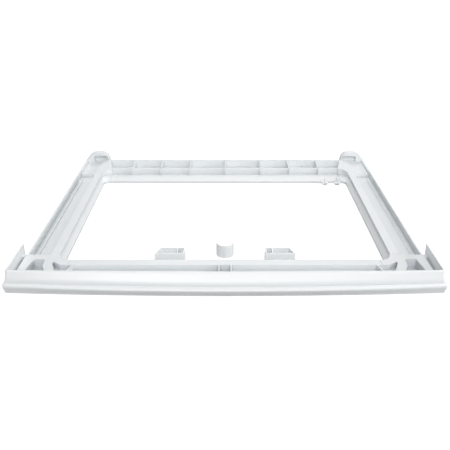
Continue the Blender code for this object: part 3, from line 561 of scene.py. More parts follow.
# %% Build the helpers that start a piece and hand it over
def new_piece(name, mesh, finish):
    """A piece at the origin with one finish, in the scene but not yet riding on a body."""
    mesh.materials.clear()
    mesh.materials.append(FINISHES[finish])
    return in_scene(name, mesh)


def hand_over(piece, body, slot, *replaced):
    """Puts a finished piece on its body and hides the solids it replaces; slot is not used."""
    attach(piece, body)
    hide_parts(*replaced)
    print(piece.name, len(piece.data.polygons), "faces")


print("pieces can be started and handed over")

# %% [markdown]
# ## Measures of the frame
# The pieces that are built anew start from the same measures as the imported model. Depths are
# counted back from the foremost edge of the front moulding, and heights up from the frame's
# underside, which the rubber pads lift half a millimetre off the floor.

# %% Name the shared measures
FRONT_EDGE = cad_box[0][1]
FOOT = 0.0005
DECK = 0.0165
WALL = 0.0025
THIN_WALL = 0.0022
GAP = 0.0003

print("the frame's front edge is at", round(FRONT_EDGE, 5), "m, its deck", DECK * 1000, "mm high")

# %% Build the helpers that place points, blocks and lofts
def placed(across, depth, height):
    """A point of the frame in the scene's own coordinates."""
    return across, FRONT_EDGE + depth, FOOT + height


def add_prism(bm, outline, low, high):
    """Adds an upright block from its plan outline in (across, depth) and its two heights."""
    feet = [bm.verts.new(placed(across, depth, low)) for across, depth in outline]
    heads = [bm.verts.new(placed(across, depth, high)) for across, depth in outline]
    bm.faces.new(feet)
    bm.faces.new(heads)
    for index in range(len(outline)):
        ahead = (index + 1) % len(outline)
        bm.faces.new((feet[index], feet[ahead], heads[ahead], heads[index]))


def add_block(bm, low, high):
    """Adds an upright block between two opposite corners, given as (across, depth, height)."""
    outline = [(low[0], low[1]), (high[0], low[1]), (high[0], high[1]), (low[0], high[1])]
    add_prism(bm, outline, low[2], high[2])


def add_loft(bm, rings):
    """Adds a closed body through rings of points, capped at both ends."""
    rows = [[bm.verts.new(placed(*point)) for point in ring] for ring in rings]
    for row, following in zip(rows, rows[1:]):
        for index in range(len(row)):
            ahead = (index + 1) % len(row)
            bm.faces.new((row[index], row[ahead], following[ahead], following[index]))
    bm.faces.new(rows[0])
    bm.faces.new(rows[-1])


def box_of(node):
    """The low corner, the high corner and the middle of a solid's box."""
    low, high = (Vector(corner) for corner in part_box(node))
    return low, high, (low + high) / 2


print("the middle of the front is at", [round(value, 4) for value in placed(0.0, 0.0, 0.0)])

# %% [markdown]
# ## The front moulding
# The moulding is the one part that shows when both machines stand in place. Its face runs from an
# undercut foot over a rounded lip, back into a narrow groove, and up a hollow cove to a thin top
# edge. It bows forward in the middle, and both ends turn back round a small corner. A mould maker
# would draw a few levels and blend a surface through them, so the levels are given here as shares
# of the height, of the flare at the ends and of the reach to the lip, and a smooth curve runs
# through them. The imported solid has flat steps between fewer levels, and its lip lies about a
# millimetre higher.

# %% Name the levels of the moulding
FASCIA_FACE = (
    (0.00, 0.72, 0.50),
    (0.10, 0.80, 0.62),
    (0.20, 0.90, 0.80),
    (0.27, 0.97, 0.93),
    (0.32, 1.00, 0.99),
    (0.36, 1.00, 1.00),
    (0.40, 0.96, 0.96),
    (0.43, 0.86, 0.89),
    (0.452, 0.70, 0.79),
    (0.466, 0.50, 0.69),
    (0.474, 0.40, 0.63),
    (0.53, 0.28, 0.645),
    (0.58, 0.20, 0.64),
    (0.64, 0.12, 0.60),
    (0.70, 0.06, 0.53),
    (0.76, 0.03, 0.43),
    (0.82, 0.01, 0.33),
    (0.88, 0.00, 0.23),
    (0.94, 0.00, 0.13),
    (0.98, 0.00, 0.05),
    (1.00, -0.12, -0.05),
)
FASCIA_BACK = (
    (1.00, 0.00, 0.00),
    (0.82, 0.01, 0.33),
    (0.70, 0.06, 0.53),
    (0.55, 0.24, 0.62),
    (0.44, 0.70, 0.85),
    (0.31, 0.92, 0.93),
    (0.20, 0.90, 0.80),
    (0.00, 0.72, 0.50),
)
print(len(FASCIA_FACE), "levels drawn on the face,", len(FASCIA_BACK), "on the back")

# %% Blend a curve through the levels
LEVEL_STEPS = 4


def blended_levels(levels, steps):
    """Points of a Catmull-Rom curve through the levels; no point goes past the widest level."""
    ends = [levels[0], *levels, levels[-1]]
    points = []
    for four in zip(ends, ends[1:], ends[2:], ends[3:]):
        for step in range(steps):
            t = step / steps
            weights = (
                (-t + 2 * t**2 - t**3) / 2,
                (2 - 5 * t**2 + 3 * t**3) / 2,
                (t + 4 * t**2 - 3 * t**3) / 2,
                (-(t**2) + t**3) / 2,
            )
            mixed = [sum(w * p[axis] for w, p in zip(weights, four)) for axis in range(3)]
            points.append(tuple(min(value, 1.0) for value in mixed))
    return points + [levels[-1]]


face_levels = blended_levels(FASCIA_FACE, LEVEL_STEPS)
back_levels = blended_levels(FASCIA_BACK, LEVEL_STEPS)
print(len(face_levels), "blended levels on the face,", len(back_levels), "on the back")

# %% Bow a level of the moulding
FASCIA_HEIGHT = 0.0325
FASCIA_HALF = 0.2966
LIP_FLARE = 0.0049
TOP_MIDDLE_DEPTH = 0.0144
TOP_END_DEPTH = 0.0191
LIP_END_DEPTH = 0.0121
RETURN_DEPTH = 0.0236
FASCIA_CORNER = 0.004
BOW_STEPS = 44
CORNER_STEPS = 8


def bow(flare_share, reach_share, inset):
    """Half the width of one level, and the function that gives its depth at a place across."""
    half_width = FASCIA_HALF + LIP_FLARE * flare_share - inset
    middle = TOP_MIDDLE_DEPTH * (1 - reach_share) + inset
    end = TOP_END_DEPTH + (LIP_END_DEPTH - TOP_END_DEPTH) * reach_share + inset
    return half_width, lambda across: middle + (end - middle) * (across / half_width) ** 2


def level_line(flare_share, reach_share, inset):
    """Plan points of one level, from its left return round the front to its right return."""
    half_width, depth_at = bow(flare_share, reach_share, inset)
    radius = FASCIA_CORNER - inset
    flat = half_width - radius
    spots = [flat * step / BOW_STEPS for step in range(BOW_STEPS + 1)]
    points = [(across, depth_at(across)) for across in spots]
    corner_depth = depth_at(flat) + radius
    for step in range(1, CORNER_STEPS + 1):
        angle = math.radians(90 * step / CORNER_STEPS)
        points.append((flat + radius * math.sin(angle), corner_depth - radius * math.cos(angle)))
    points.append((half_width, RETURN_DEPTH))
    return [(-across, depth) for across, depth in reversed(points[1:])] + points


lip_width = 2 * bow(1.0, 1.0, 0.0)[0]
print("the lip spans", round(lip_width * 1000, 1), "mm")

# %% Sweep the moulding from end to end
FASCIA_EDGE = 0.00025

lines = [(height, level_line(flare, reach, 0.0)) for height, flare, reach in face_levels]
lines += [(height, level_line(flare, reach, WALL)) for height, flare, reach in back_levels]
rings = [
    [(*line[index], height * FASCIA_HEIGHT) for height, line in lines]
    for index in range(len(lines[0][1]))
]
bm = bmesh.new()
add_loft(bm, rings)
fascia = new_piece("bowed_fascia", mesh_from(bm, "bowed_fascia"), "fascia_white")
fascia = softened(fascia, FASCIA_EDGE, SHELL_SEGMENTS)
hand_over(fascia, "frame", "fascia_white", "front_fascia")

# %% [markdown]
# ## Geometry Nodes for what repeats
# Ribs, pad ridges and screws come in rows. A node tree makes one of them from a few named sizes,
# and puts a copy on every point of a small mesh that holds nothing but their places.

# %% Build the helpers for geometry trees
def geometry_tree(name, sizes):
    """An empty tree with a geometry input and output, an input for each size and a material."""
    tree = bpy.data.node_groups.new(name, "GeometryNodeTree")
    add = tree.interface.new_socket
    add("Geometry", in_out="INPUT", socket_type="NodeSocketGeometry")
    for label, default in sizes.items():
        kind = "NodeSocketInt" if isinstance(default, int) else "NodeSocketFloat"
        add(label, in_out="INPUT", socket_type=kind).default_value = default
    add("Material", in_out="INPUT", socket_type="NodeSocketMaterial")
    add("Geometry", in_out="OUTPUT", socket_type="NodeSocketGeometry")
    return tree, tree.nodes.new("NodeGroupInput"), tree.nodes.new("NodeGroupOutput")


def on_points(tree, points, instance):
    """Puts a copy of a geometry on every point, and returns the instances."""
    values = {"Points": points, "Instance": instance}
    return lay(tree, "GeometryNodeInstanceOnPoints", values).outputs[0]


def finish_tree(tree, given, made, instances):
    """Realizes the instances, gives them the material and hands them to the tree's output."""
    real = lay(tree, "GeometryNodeRealizeInstances", {"Geometry": instances})
    values = {"Geometry": real.outputs[0], "Material": given.outputs["Material"]}
    coat = lay(tree, "GeometryNodeSetMaterial", values)
    tree.links.new(coat.outputs[0], made.inputs[0])
    print(tree.name, "has", len(tree.nodes), "nodes")


print("geometry trees can be started and finished")

# %% Build the helpers that run a geometry tree
def grown(tree, base, finish, sizes):
    """The plain mesh that a tree makes on a base mesh with the given sizes."""
    holder = in_scene(tree.name, base)
    modifier = holder.modifiers.new(tree.name, "NODES")
    modifier.node_group = tree
    values = {**sizes, "Material": FINISHES[finish]}
    for item in tree.interface.items_tree:
        if item.in_out == "INPUT" and item.name in values:
            modifier[item.identifier] = values[item.name]
    bm = bmesh.new()
    bm.from_mesh(as_plain_mesh(holder).data)
    bpy.data.objects.remove(holder)
    return mesh_from(bm, tree.name)


def places(points):
    """A mesh of nothing but points of the frame."""
    mesh = bpy.data.meshes.new("places")
    mesh.from_pydata([placed(*point) for point in points], [], [])
    return mesh


print("geometry trees can be run")

# %% [markdown]
# ### A row of ribs
# Each rib is a thin upright plate. The tree takes its thickness, its length from front to back
# and its height.

# %% Tree: rib row
RIB_AXES = {"X": "Rib Thickness", "Y": "Rib Length", "Z": "Rib Height"}

rib_row, given, made = geometry_tree(
    "rib_row", {"Rib Thickness": 0.0018, "Rib Length": 0.05, "Rib Height": 0.013}
)
rib_extent = {axis: given.outputs[label] for axis, label in RIB_AXES.items()}
size = lay(rib_row, "ShaderNodeCombineXYZ", rib_extent)
plate = lay(rib_row, "GeometryNodeMeshCube", {"Size": size.outputs[0]})
ribs = on_points(rib_row, given.outputs["Geometry"], plate.outputs["Mesh"])
finish_tree(rib_row, given, made, ribs)

# %% [markdown]
# ### A drawn bar
# Rails and bars have one cross section all along, as if the plastic were drawn through a die. The
# tree takes the section as a flat face and draws it out by a run across or a run in depth. The
# ends of the rear bar are slanted: behind a certain depth they run outwards. So each end point is
# moved outwards by how far it lies behind that depth.

# %% Tree: drawn bar
drawn_bar, given, made = geometry_tree(
    "drawn_bar", {"Run Across": 0.0, "Run Back": 0.0, "End Slope": 0.0, "Slope Start": 0.0}
)
start_face = given.outputs["Geometry"]
run_axes = {"X": given.outputs["Run Across"], "Y": given.outputs["Run Back"]}
run = lay(drawn_bar, "ShaderNodeCombineXYZ", run_axes).outputs[0]
draw = {"Mesh": start_face, "Offset": run, "Offset Scale": 1.0, "Individual": False}
drawn = lay(drawn_bar, "GeometryNodeExtrudeMesh", draw)
both = lay(drawn_bar, "GeometryNodeJoinGeometry", {})
for end in (start_face, drawn.outputs["Mesh"]):
    drawn_bar.links.new(end, both.inputs[0])
merge = {"Geometry": both.outputs[0], "Distance": MERGE_WITHIN}
whole = lay(drawn_bar, "GeometryNodeMergeByDistance", merge).outputs[0]
where = lay(drawn_bar, "GeometryNodeInputPosition", {}).outputs[0]
axes = lay(drawn_bar, "ShaderNodeSeparateXYZ", {"Vector": where}).outputs
past = calculate(drawn_bar, "SUBTRACT", axes["Y"], given.outputs["Slope Start"])
past = calculate(drawn_bar, "MAXIMUM", past, 0.0)
reach = calculate(drawn_bar, "MULTIPLY", past, given.outputs["End Slope"])
reach = calculate(drawn_bar, "MULTIPLY", reach, calculate(drawn_bar, "SIGN", axes["X"]))
out = lay(drawn_bar, "ShaderNodeCombineXYZ", {"X": reach}).outputs[0]
slanted = lay(drawn_bar, "GeometryNodeSetPosition", {"Geometry": whole, "Offset": out})
finish_tree(drawn_bar, given, made, slanted.outputs[0])

# %% [markdown]
# ### Tongues and bosses
# A tongue at the end of each bar and rail slides under a corner block, and a short screw holds
# it. Each tongue is a block with a hole for the screw's head, cut with a Boolean. It starts in a
# boss, a solid block in the hollow end. The blocks are sunk a hair into the plastic around them,
# because two faces in one plane would flicker.

# %% Build the helpers for tongues and bosses
HEAD_ROOM = 0.003
TONGUE_WIDTH = 0.01
TONGUE_LENGTH = 0.014
TONGUE_HEIGHT = 0.0045
TONGUE_ROOT = 0.01
DRILL_LENGTH = 0.018
HOLE_SIDES = 24
SUNK = 0.0002


def block_mesh(low, high):
    """An upright block between two opposite corners in (across, depth, height)."""
    bm = bmesh.new()
    add_block(bm, low, high)
    return cleaned(bm, "block")


def bored_block(low, high, hole):
    """An upright block with a round hole through it, at a place across and in depth."""
    bm = bmesh.new()
    bmesh.ops.create_cone(
        bm,
        cap_ends=True,
        segments=HOLE_SIDES,
        radius1=HEAD_ROOM,
        radius2=HEAD_ROOM,
        depth=DRILL_LENGTH,
        matrix=Matrix.Translation(placed(*hole, 0.0)),
    )
    block = in_scene("block", block_mesh(low, high))
    drill = in_scene("drill", mesh_from(bm, "drill", outwards=False))
    cut = block.modifiers.new("Hole", "BOOLEAN")
    cut.operation = "DIFFERENCE"
    cut.solver = "EXACT"
    cut.object = drill
    mesh = as_plain_mesh(block).data
    for tool in (block, drill):
        bpy.data.objects.remove(tool)
    return mesh


print("holes for screw heads have a radius of", HEAD_ROOM * 1000, "mm")

# %% Build the helpers for shells and sections
def assembled(name, finish, width, shells):
    """A piece of several closed shells, each softened alone, so that no bevel meets another."""
    bm = bmesh.new()
    for shell in shells:
        part = softened(new_piece(name + "_shell", shell, finish), width, SHELL_SEGMENTS)
        bm.from_mesh(part.data)
        bpy.data.objects.remove(part)
    piece = new_piece(name, mesh_from(bm, name, outwards=False), finish)
    flats = piece.modifiers.new("Flat faces", "WEIGHTED_NORMAL")
    flats.weight = FLAT_WEIGHT
    flats.keep_sharp = True
    return as_plain_mesh(piece)


def section(corners):
    """A flat face from the corners of a cross section."""
    mesh = bpy.data.meshes.new("section")
    mesh.from_pydata([placed(*corner) for corner in corners], [], [tuple(range(len(corners)))])
    return mesh


print("shells can be assembled")

# %% [markdown]
# ## The rear bar
# The rear bar has, from front to back, a low sloping ledge, a gutter, and a tray between two
# upright walls. Seven ribs cross the gutter and the tray, a little lower than the walls.
# Underneath, the ledge is hollow. The bar and its ribs are grown by the two trees above.

# %% Name the measures of the rear bar
REAR_HALF = 0.2268
REAR_SLOPE_START = 0.4705
REAR_WIDENING = 0.0127
LEDGE_FRONT = 0.4320
LEDGE_REAR = 0.4663
LEDGE_LIP = 0.0037
LEDGE_TOP = 0.0053
TRAY_WALL = 0.4725
TRAY_REAR = 0.5224
TRAY_FLOOR = 0.0024

rear_outline = (
    (LEDGE_FRONT, 0.0),
    (LEDGE_FRONT, LEDGE_LIP),
    (LEDGE_REAR, LEDGE_TOP),
    (LEDGE_REAR, TRAY_FLOOR),
    (REAR_SLOPE_START, TRAY_FLOOR),
    (TRAY_WALL, TRAY_FLOOR),
    (TRAY_WALL, DECK),
    (TRAY_WALL + WALL, DECK),
    (TRAY_WALL + WALL, TRAY_FLOOR),
    (TRAY_REAR, TRAY_FLOOR),
    (TRAY_REAR, DECK),
    (TRAY_REAR + WALL, DECK),
    (TRAY_REAR + WALL, 0.0),
    (REAR_SLOPE_START, 0.0),
    (LEDGE_REAR - THIN_WALL, 0.0),
    (LEDGE_REAR - THIN_WALL, LEDGE_TOP - THIN_WALL),
    (LEDGE_FRONT + THIN_WALL, LEDGE_LIP - THIN_WALL),
    (LEDGE_FRONT + THIN_WALL, 0.0),
)
print("the rear bar's section has", len(rear_outline), "corners")

# %% Grow the rear bar and its ribs
RIB_THICKNESS = 0.0018
RIB_DROP = 0.0012
TRAY_RIB_SHARES = (0.0, 0.315, 0.571, 0.829)

rear_slope = REAR_WIDENING / (TRAY_REAR + WALL - REAR_SLOPE_START)
bar_sizes = {
    "Run Across": 2 * REAR_HALF,
    "End Slope": rear_slope,
    "Slope Start": FRONT_EDGE + REAR_SLOPE_START,
}
rib_front = LEDGE_REAR + GAP
rib_rear = TRAY_REAR + WALL / 2
rib_top = DECK - RIB_DROP
rib_foot = TRAY_FLOOR / 2
rib_places = sorted({s * share * REAR_HALF for share in TRAY_RIB_SHARES for s in (-1, 1)})
rib_middle = ((rib_front + rib_rear) / 2, (rib_foot + rib_top) / 2)
rib_spots = [(across, *rib_middle) for across in rib_places]
rib_sizes = {
    "Rib Thickness": RIB_THICKNESS,
    "Rib Length": rib_rear - rib_front,
    "Rib Height": rib_top - rib_foot,
}
rear_section = section([(-REAR_HALF, depth, height) for depth, height in rear_outline])
rear_shells = [
    grown(drawn_bar, rear_section, "frame_white_faint_shade", bar_sizes),
    grown(rib_row, places(rib_spots), "frame_white_faint_shade", rib_sizes),
]
print(len(rib_places), "ribs cross the tray")

# %% Add the tongues of the rear bar
REAR_TONGUE_FRONT = 0.4841
BAR_EDGE = 0.0003

rear_tongue_rear = REAR_TONGUE_FRONT + TONGUE_WIDTH
tongue_start = REAR_HALF + rear_slope * (rear_tongue_rear - REAR_SLOPE_START)
rear_screw_place = tongue_start + TONGUE_LENGTH / 2
rear_screw_depth = REAR_TONGUE_FRONT + TONGUE_WIDTH / 2
for s in (-1, 1):
    web_low = (s * (REAR_HALF - TONGUE_ROOT), REAR_TONGUE_FRONT, SUNK)
    web_high = (s * (tongue_start + TONGUE_LENGTH / 4), rear_tongue_rear, TRAY_FLOOR - SUNK)
    rear_shells.append(block_mesh(web_low, web_high))
    tip_low = (s * (tongue_start + GAP), REAR_TONGUE_FRONT, SUNK)
    tip_high = (s * (tongue_start + TONGUE_LENGTH), rear_tongue_rear, TONGUE_HEIGHT)
    rear_shells.append(bored_block(tip_low, tip_high, (s * rear_screw_place, rear_screw_depth)))
rear_bar = assembled("ribbed_rear_bar", "frame_white_faint_shade", BAR_EDGE, rear_shells)
hand_over(rear_bar, "frame", "frame_white", "rear_crossbar")

# %% [markdown]
# ## The front bar
# Behind the moulding lies a channel, and behind the channel a raised flange, which is hollow
# below. The channel's front edge follows the bow of the moulding, so the cross section changes
# along the bar. The bar is therefore lofted through cross sections, each with its own front edge.
# Two short ribs cross the channel in the middle, and a cranked rib closes it at each end.

# %% Loft the front bar
FRONT_HALF = 0.2235
CHANNEL_FLOOR = 0.0089
FLANGE_FRONT = 0.0648
FLANGE_REAR = 0.0808
BAR_STATIONS = 48

foot_flare, foot_reach = FASCIA_BACK[-1][1:]
foot_depth = bow(foot_flare, foot_reach, WALL + GAP)[1]


def bar_section(across):
    """Cross section of the front bar at a place across, once round."""
    foot = foot_depth(across)
    outline = (
        (foot, 0.0),
        (foot, CHANNEL_FLOOR),
        (FLANGE_FRONT, CHANNEL_FLOOR),
        (FLANGE_FRONT, DECK),
        (FLANGE_REAR, DECK),
        (FLANGE_REAR, 0.0),
        (FLANGE_REAR - THIN_WALL, 0.0),
        (FLANGE_REAR - THIN_WALL, DECK - THIN_WALL),
        (FLANGE_FRONT + THIN_WALL, DECK - THIN_WALL),
        (FLANGE_FRONT + THIN_WALL, CHANNEL_FLOOR - THIN_WALL),
        (foot + THIN_WALL, CHANNEL_FLOOR - THIN_WALL),
        (foot + THIN_WALL, 0.0),
    )
    return [(across, depth, height) for depth, height in outline]


bm = bmesh.new()
stations = [FRONT_HALF * (2 * step / BAR_STATIONS - 1) for step in range(BAR_STATIONS + 1)]
add_loft(bm, [bar_section(across) for across in stations])
front_shells = [mesh_from(bm, "front_bar_body")]
print("the front bar runs through", len(stations), "cross sections")

# %% Add its ribs, bosses and tongues
CHANNEL_RIB_PLACE = 0.0085
END_RIB = 0.0024
END_RIB_SLANT = 0.0062
END_RIB_BEND = 0.0470

rib_low = CHANNEL_FLOOR - THIN_WALL / 2
rib_high = DECK - GAP
floor_rear = FLANGE_FRONT + THIN_WALL / 2
short_front = foot_depth(CHANNEL_RIB_PLACE) + THIN_WALL
short_middle = ((short_front + floor_rear) / 2, (rib_low + rib_high) / 2)
short_spots = places([(s * CHANNEL_RIB_PLACE, *short_middle) for s in (-1, 1)])
short_sizes = {
    "Rib Thickness": RIB_THICKNESS,
    "Rib Length": floor_rear - short_front,
    "Rib Height": rib_high - rib_low,
}
front_shells.append(grown(rib_row, short_spots, "frame_white", short_sizes))
front_tongue = (FLANGE_FRONT + FLANGE_REAR - TONGUE_WIDTH) / 2
front_screw_place = FRONT_HALF + TONGUE_LENGTH / 2
front_screw_depth = front_tongue + TONGUE_WIDTH / 2
for s in (-1, 1):
    turn = s * (FRONT_HALF - END_RIB)
    skew = s * (FRONT_HALF - END_RIB - END_RIB_SLANT)
    end = s * FRONT_HALF
    rib_start = foot_depth(turn) + THIN_WALL
    outline = [(skew, floor_rear), (turn, END_RIB_BEND), (turn, rib_start), (end, rib_start)]
    outline += [(end, END_RIB_BEND), (skew + s * END_RIB, floor_rear)]
    bm = bmesh.new()
    add_prism(bm, outline, rib_low, rib_high)
    front_shells.append(cleaned(bm, "end_rib"))
    boss_low = (s * (FRONT_HALF - TONGUE_ROOT), FLANGE_FRONT + THIN_WALL / 2, SUNK)
    boss_high = (end - s * SUNK, FLANGE_REAR - THIN_WALL / 2, DECK - THIN_WALL / 2)
    front_shells.append(block_mesh(boss_low, boss_high))
    tongue_low = (s * (FRONT_HALF - TONGUE_ROOT / 2), front_tongue, SUNK / 2)
    tongue_high = (s * (FRONT_HALF + TONGUE_LENGTH), front_tongue + TONGUE_WIDTH, TONGUE_HEIGHT)
    hole = (s * front_screw_place, front_screw_depth)
    front_shells.append(bored_block(tongue_low, tongue_high, hole))
front_bar = assembled("channelled_front_bar", "frame_white", BAR_EDGE, front_shells)
hand_over(front_bar, "frame", "frame_white", "front_crossbar")

# %% [markdown]
# ## The side rails
# From the outside in, a rail has an outer wall, a trough with a low bead along its floor, a flat
# plateau that carries the dryer, and a ledge that slopes down to the open middle. The plateau and
# the ledge are hollow below. One section drawn from front to back makes the whole rail, and the
# left rail's section is the right one's with its sign changed.

# %% Name the measures of a rail
RAIL_OUTER = 0.2896
TROUGH_OUTER = 0.2868
PLATEAU_OUTER = 0.2559
PLATEAU_INNER = 0.2428
RAIL_INNER = 0.2367
RAIL_FRONT = 0.0970
RAIL_REAR = 0.4225
TROUGH_FLOOR = 0.005
SIDE_LEDGE_TOP = 0.0098
LEDGE_WALL = 0.0031
BEAD_PLACE = 0.2802
BEAD_WIDTH = 0.0042
BEAD_HEIGHT = 0.0024
RAIL_EDGE = 0.00025

ledge_slope = (SIDE_LEDGE_TOP - LEDGE_LIP) / (PLATEAU_INNER - RAIL_INNER)
rail_outline = (
    (RAIL_INNER, 0.0),
    (RAIL_INNER, LEDGE_LIP),
    (PLATEAU_INNER, SIDE_LEDGE_TOP),
    (PLATEAU_INNER, DECK),
    (PLATEAU_OUTER, DECK),
    (PLATEAU_OUTER, TROUGH_FLOOR),
    (BEAD_PLACE - BEAD_WIDTH / 2, TROUGH_FLOOR),
    (BEAD_PLACE - BEAD_WIDTH / 4, TROUGH_FLOOR + BEAD_HEIGHT),
    (BEAD_PLACE + BEAD_WIDTH / 4, TROUGH_FLOOR + BEAD_HEIGHT),
    (BEAD_PLACE + BEAD_WIDTH / 2, TROUGH_FLOOR),
    (TROUGH_OUTER, TROUGH_FLOOR),
    (TROUGH_OUTER, DECK),
    (RAIL_OUTER, DECK),
    (RAIL_OUTER, 0.0),
    (TROUGH_OUTER, 0.0),
    (TROUGH_OUTER, TROUGH_FLOOR - WALL),
    (PLATEAU_OUTER, TROUGH_FLOOR - WALL),
    (PLATEAU_OUTER, 0.0),
    (PLATEAU_OUTER - THIN_WALL, 0.0),
    (PLATEAU_OUTER - THIN_WALL, DECK - THIN_WALL),
    (PLATEAU_INNER + THIN_WALL, DECK - THIN_WALL),
    (PLATEAU_INNER + THIN_WALL, 0.0),
    (PLATEAU_INNER, 0.0),
    (PLATEAU_INNER, SIDE_LEDGE_TOP - LEDGE_WALL),
    (RAIL_INNER + THIN_WALL, LEDGE_LIP + THIN_WALL * ledge_slope - LEDGE_WALL),
    (RAIL_INNER + THIN_WALL, 0.0),
)
print("a rail's section has", len(rail_outline), "corners")

# %% Draw the side rails
rail_start = RAIL_FRONT + GAP
rail_end = RAIL_REAR - GAP
rail_run = {"Run Back": rail_end - rail_start}
rail_screw_place = (PLATEAU_INNER + PLATEAU_OUTER) / 2

for side, s in (("right", 1), ("left", -1)):
    rail_section = section([(s * across, rail_start, height) for across, height in rail_outline])
    rail_shells = [grown(drawn_bar, rail_section, "frame_white", rail_run)]
    for end, inward in ((rail_start, 1), (rail_end, -1)):
        boss_low = (s * (PLATEAU_INNER + THIN_WALL / 2), end + inward * SUNK, SUNK)
        boss_end = end + inward * TONGUE_ROOT
        boss_high = (s * (PLATEAU_OUTER - THIN_WALL / 2), boss_end, DECK - THIN_WALL / 2)
        rail_shells.append(block_mesh(boss_low, boss_high))
        tongue_root = end + inward * TONGUE_ROOT / 2
        tongue_tip = end - inward * TONGUE_LENGTH
        tongue_low = (s * (rail_screw_place - TONGUE_WIDTH / 2), tongue_root, SUNK / 2)
        tongue_high = (s * (rail_screw_place + TONGUE_WIDTH / 2), tongue_tip, TONGUE_HEIGHT)
        hole = (s * rail_screw_place, end - inward * TONGUE_LENGTH / 2)
        rail_shells.append(bored_block(tongue_low, tongue_high, hole))
    rail = assembled(f"drawn_{side}_side_rail", "frame_white", RAIL_EDGE, rail_shells)
    hand_over(rail, "frame", "frame_white", f"{side}_side_rail")

# %% [markdown]
# ## Corners, stops and wings
# These take their shape straight from the solids, and only their edges are softened. The table
# gives the slot, the finish and the width of the soft edge.

# %% Soften the corner blocks, foot stops and wings
# The finish sets how much shade is painted into a part's recesses.
SOFT_PARTS = {
    "front_corner_block": ("frame_white", "frame_white_deep_shade", 0.0004),
    "rear_corner_block": ("frame_white", "frame_white_faint_shade", 0.0004),
    "rear_foot_stop": ("frame_white", "frame_white_faint_shade", 0.0005),
    "end_wing": ("fascia_white", "fascia_white", 0.0003),
}

for side in ("right", "left"):
    for part, (slot, finish, width) in SOFT_PARTS.items():
        node = f"{side}_{part}"
        piece = new_piece(f"soft_{node}", copied(node, f"soft_{node}"), finish)
        hand_over(softened(piece, width), "frame", slot, node)

# %% [markdown]
# ## The loose brackets
# Two open boxes lie inside the frame. Each has a partition near its inner end and one slanted
# end, and the left one is the mirror image of the right one. Each is built from its outline and
# the outlines of its two cells, so that its rim is made of clean four-sided faces, which bevel
# well. Each moves by itself, so each rides on its own body.

# %% Build a divided box
BRACKET_WALL = 0.002
BRACKET_SLANT = 0.0069
BRACKET_CELL = 0.0079
PARTITION = 0.0018


def divided_box(low, high, s):
    """Mesh of an open box with a partition; its slanted end faces away from the middle."""
    length, width = high.x - low.x, high.y - low.y
    wall = BRACKET_WALL
    first = wall + BRACKET_CELL
    second = first + PARTITION
    inner_front = length - wall - BRACKET_SLANT * wall / width
    inner_back = length - wall - BRACKET_SLANT * (1 - wall / width)
    plan = {
        "front": (0, (0, first, second, length)),
        "front_in": (wall, (wall, first, second, inner_front)),
        "back_in": (width - wall, (wall, first, second, inner_back)),
        "back": (width, (0, first, second, length - BRACKET_SLANT)),
    }
    start = low.x if s > 0 else high.x
    bm = bmesh.new()

    def row(line, height):
        """The corners of one line of the plan at a height."""
        depth, spots = plan[line]
        return [bm.verts.new((start + s * across, low.y + depth, height)) for across in spots]

    def strip(near, far, spans):
        """Fills the given spans between two rows of corners."""
        for i in spans:
            bm.faces.new((near[i], near[i + 1], far[i + 1], far[i]))

    rim = {line: row(line, high.z) for line in plan}
    floor = {line: row(line, low.z + wall) for line in ("front_in", "back_in")}
    foot = {line: row(line, low.z) for line in ("front", "back")}
    strip(rim["front"], rim["front_in"], (0, 1, 2))
    strip(rim["back_in"], rim["back"], (0, 1, 2))
    strip(rim["front_in"], rim["back_in"], (1,))
    strip(foot["front"], foot["back"], (0, 1, 2))
    strip(floor["front_in"], floor["back_in"], (0, 2))
    for line in ("front", "back"):
        strip(rim[line], foot[line], (0, 1, 2))
        strip(rim[line + "_in"], floor[line + "_in"], (0, 2))
    crosswise = [[rim[line][i] for line in plan] for i in range(4)]
    for i in (0, 3):
        bm.faces.new(crosswise[i])
        bm.faces.new((rim["front"][i], rim["back"][i], foot["back"][i], foot["front"][i]))
    for i in range(4):
        bm.faces.new((*crosswise[i][1:3], floor["back_in"][i], floor["front_in"][i]))
    return mesh_from(bm, "divided_box")


print("a bracket's inner cell is", BRACKET_CELL * 1000, "mm long")

# %% Build the two brackets
LOOSE_EDGE = 0.0003

for side, s in (("right", 1), ("left", -1)):
    node = f"{side}_bracket"
    low, high, _ = box_of(node)
    bracket = new_piece(f"divided_{node}", divided_box(low, high, s), "accessory_white")
    hand_over(softened(bracket, LOOSE_EDGE), node, "accessory_white", node)

# %% [markdown]
# ## The loose sleeve
# A half-round shell, open at the back, with a shallow groove down its front. It takes its shape
# from its solid.

# %% Soften the sleeve
sleeve_mesh = copied("spacer_sleeve", "soft_spacer_sleeve")
sleeve = new_piece("soft_spacer_sleeve", sleeve_mesh, "accessory_white")
hand_over(softened(sleeve, LOOSE_EDGE), "spacer_sleeve", "accessory_white", "spacer_sleeve")

# %% [markdown]
# ## Rubber pads
# A pad of soft rubber sits in a shallow recess under each corner and keeps the frame from sliding
# on the washing machine. Such pads are ridged, so that they grip. Each is a thin plate with a row
# of ridges below it.

# %% Grow the ridged pads
PAD_PLATE = 0.0008
PAD_EDGE = 0.00015
RIDGE_COUNT = 9
RIDGE_SHARE = 0.55


def upright_row(spots, thickness, length, height):
    """Upright plates of rubber on the given spots, grown by the tree of the ribs."""
    sizes = {"Rib Thickness": thickness, "Rib Length": length, "Rib Height": height}
    return grown(rib_row, places(spots), "pad_rubber", sizes)


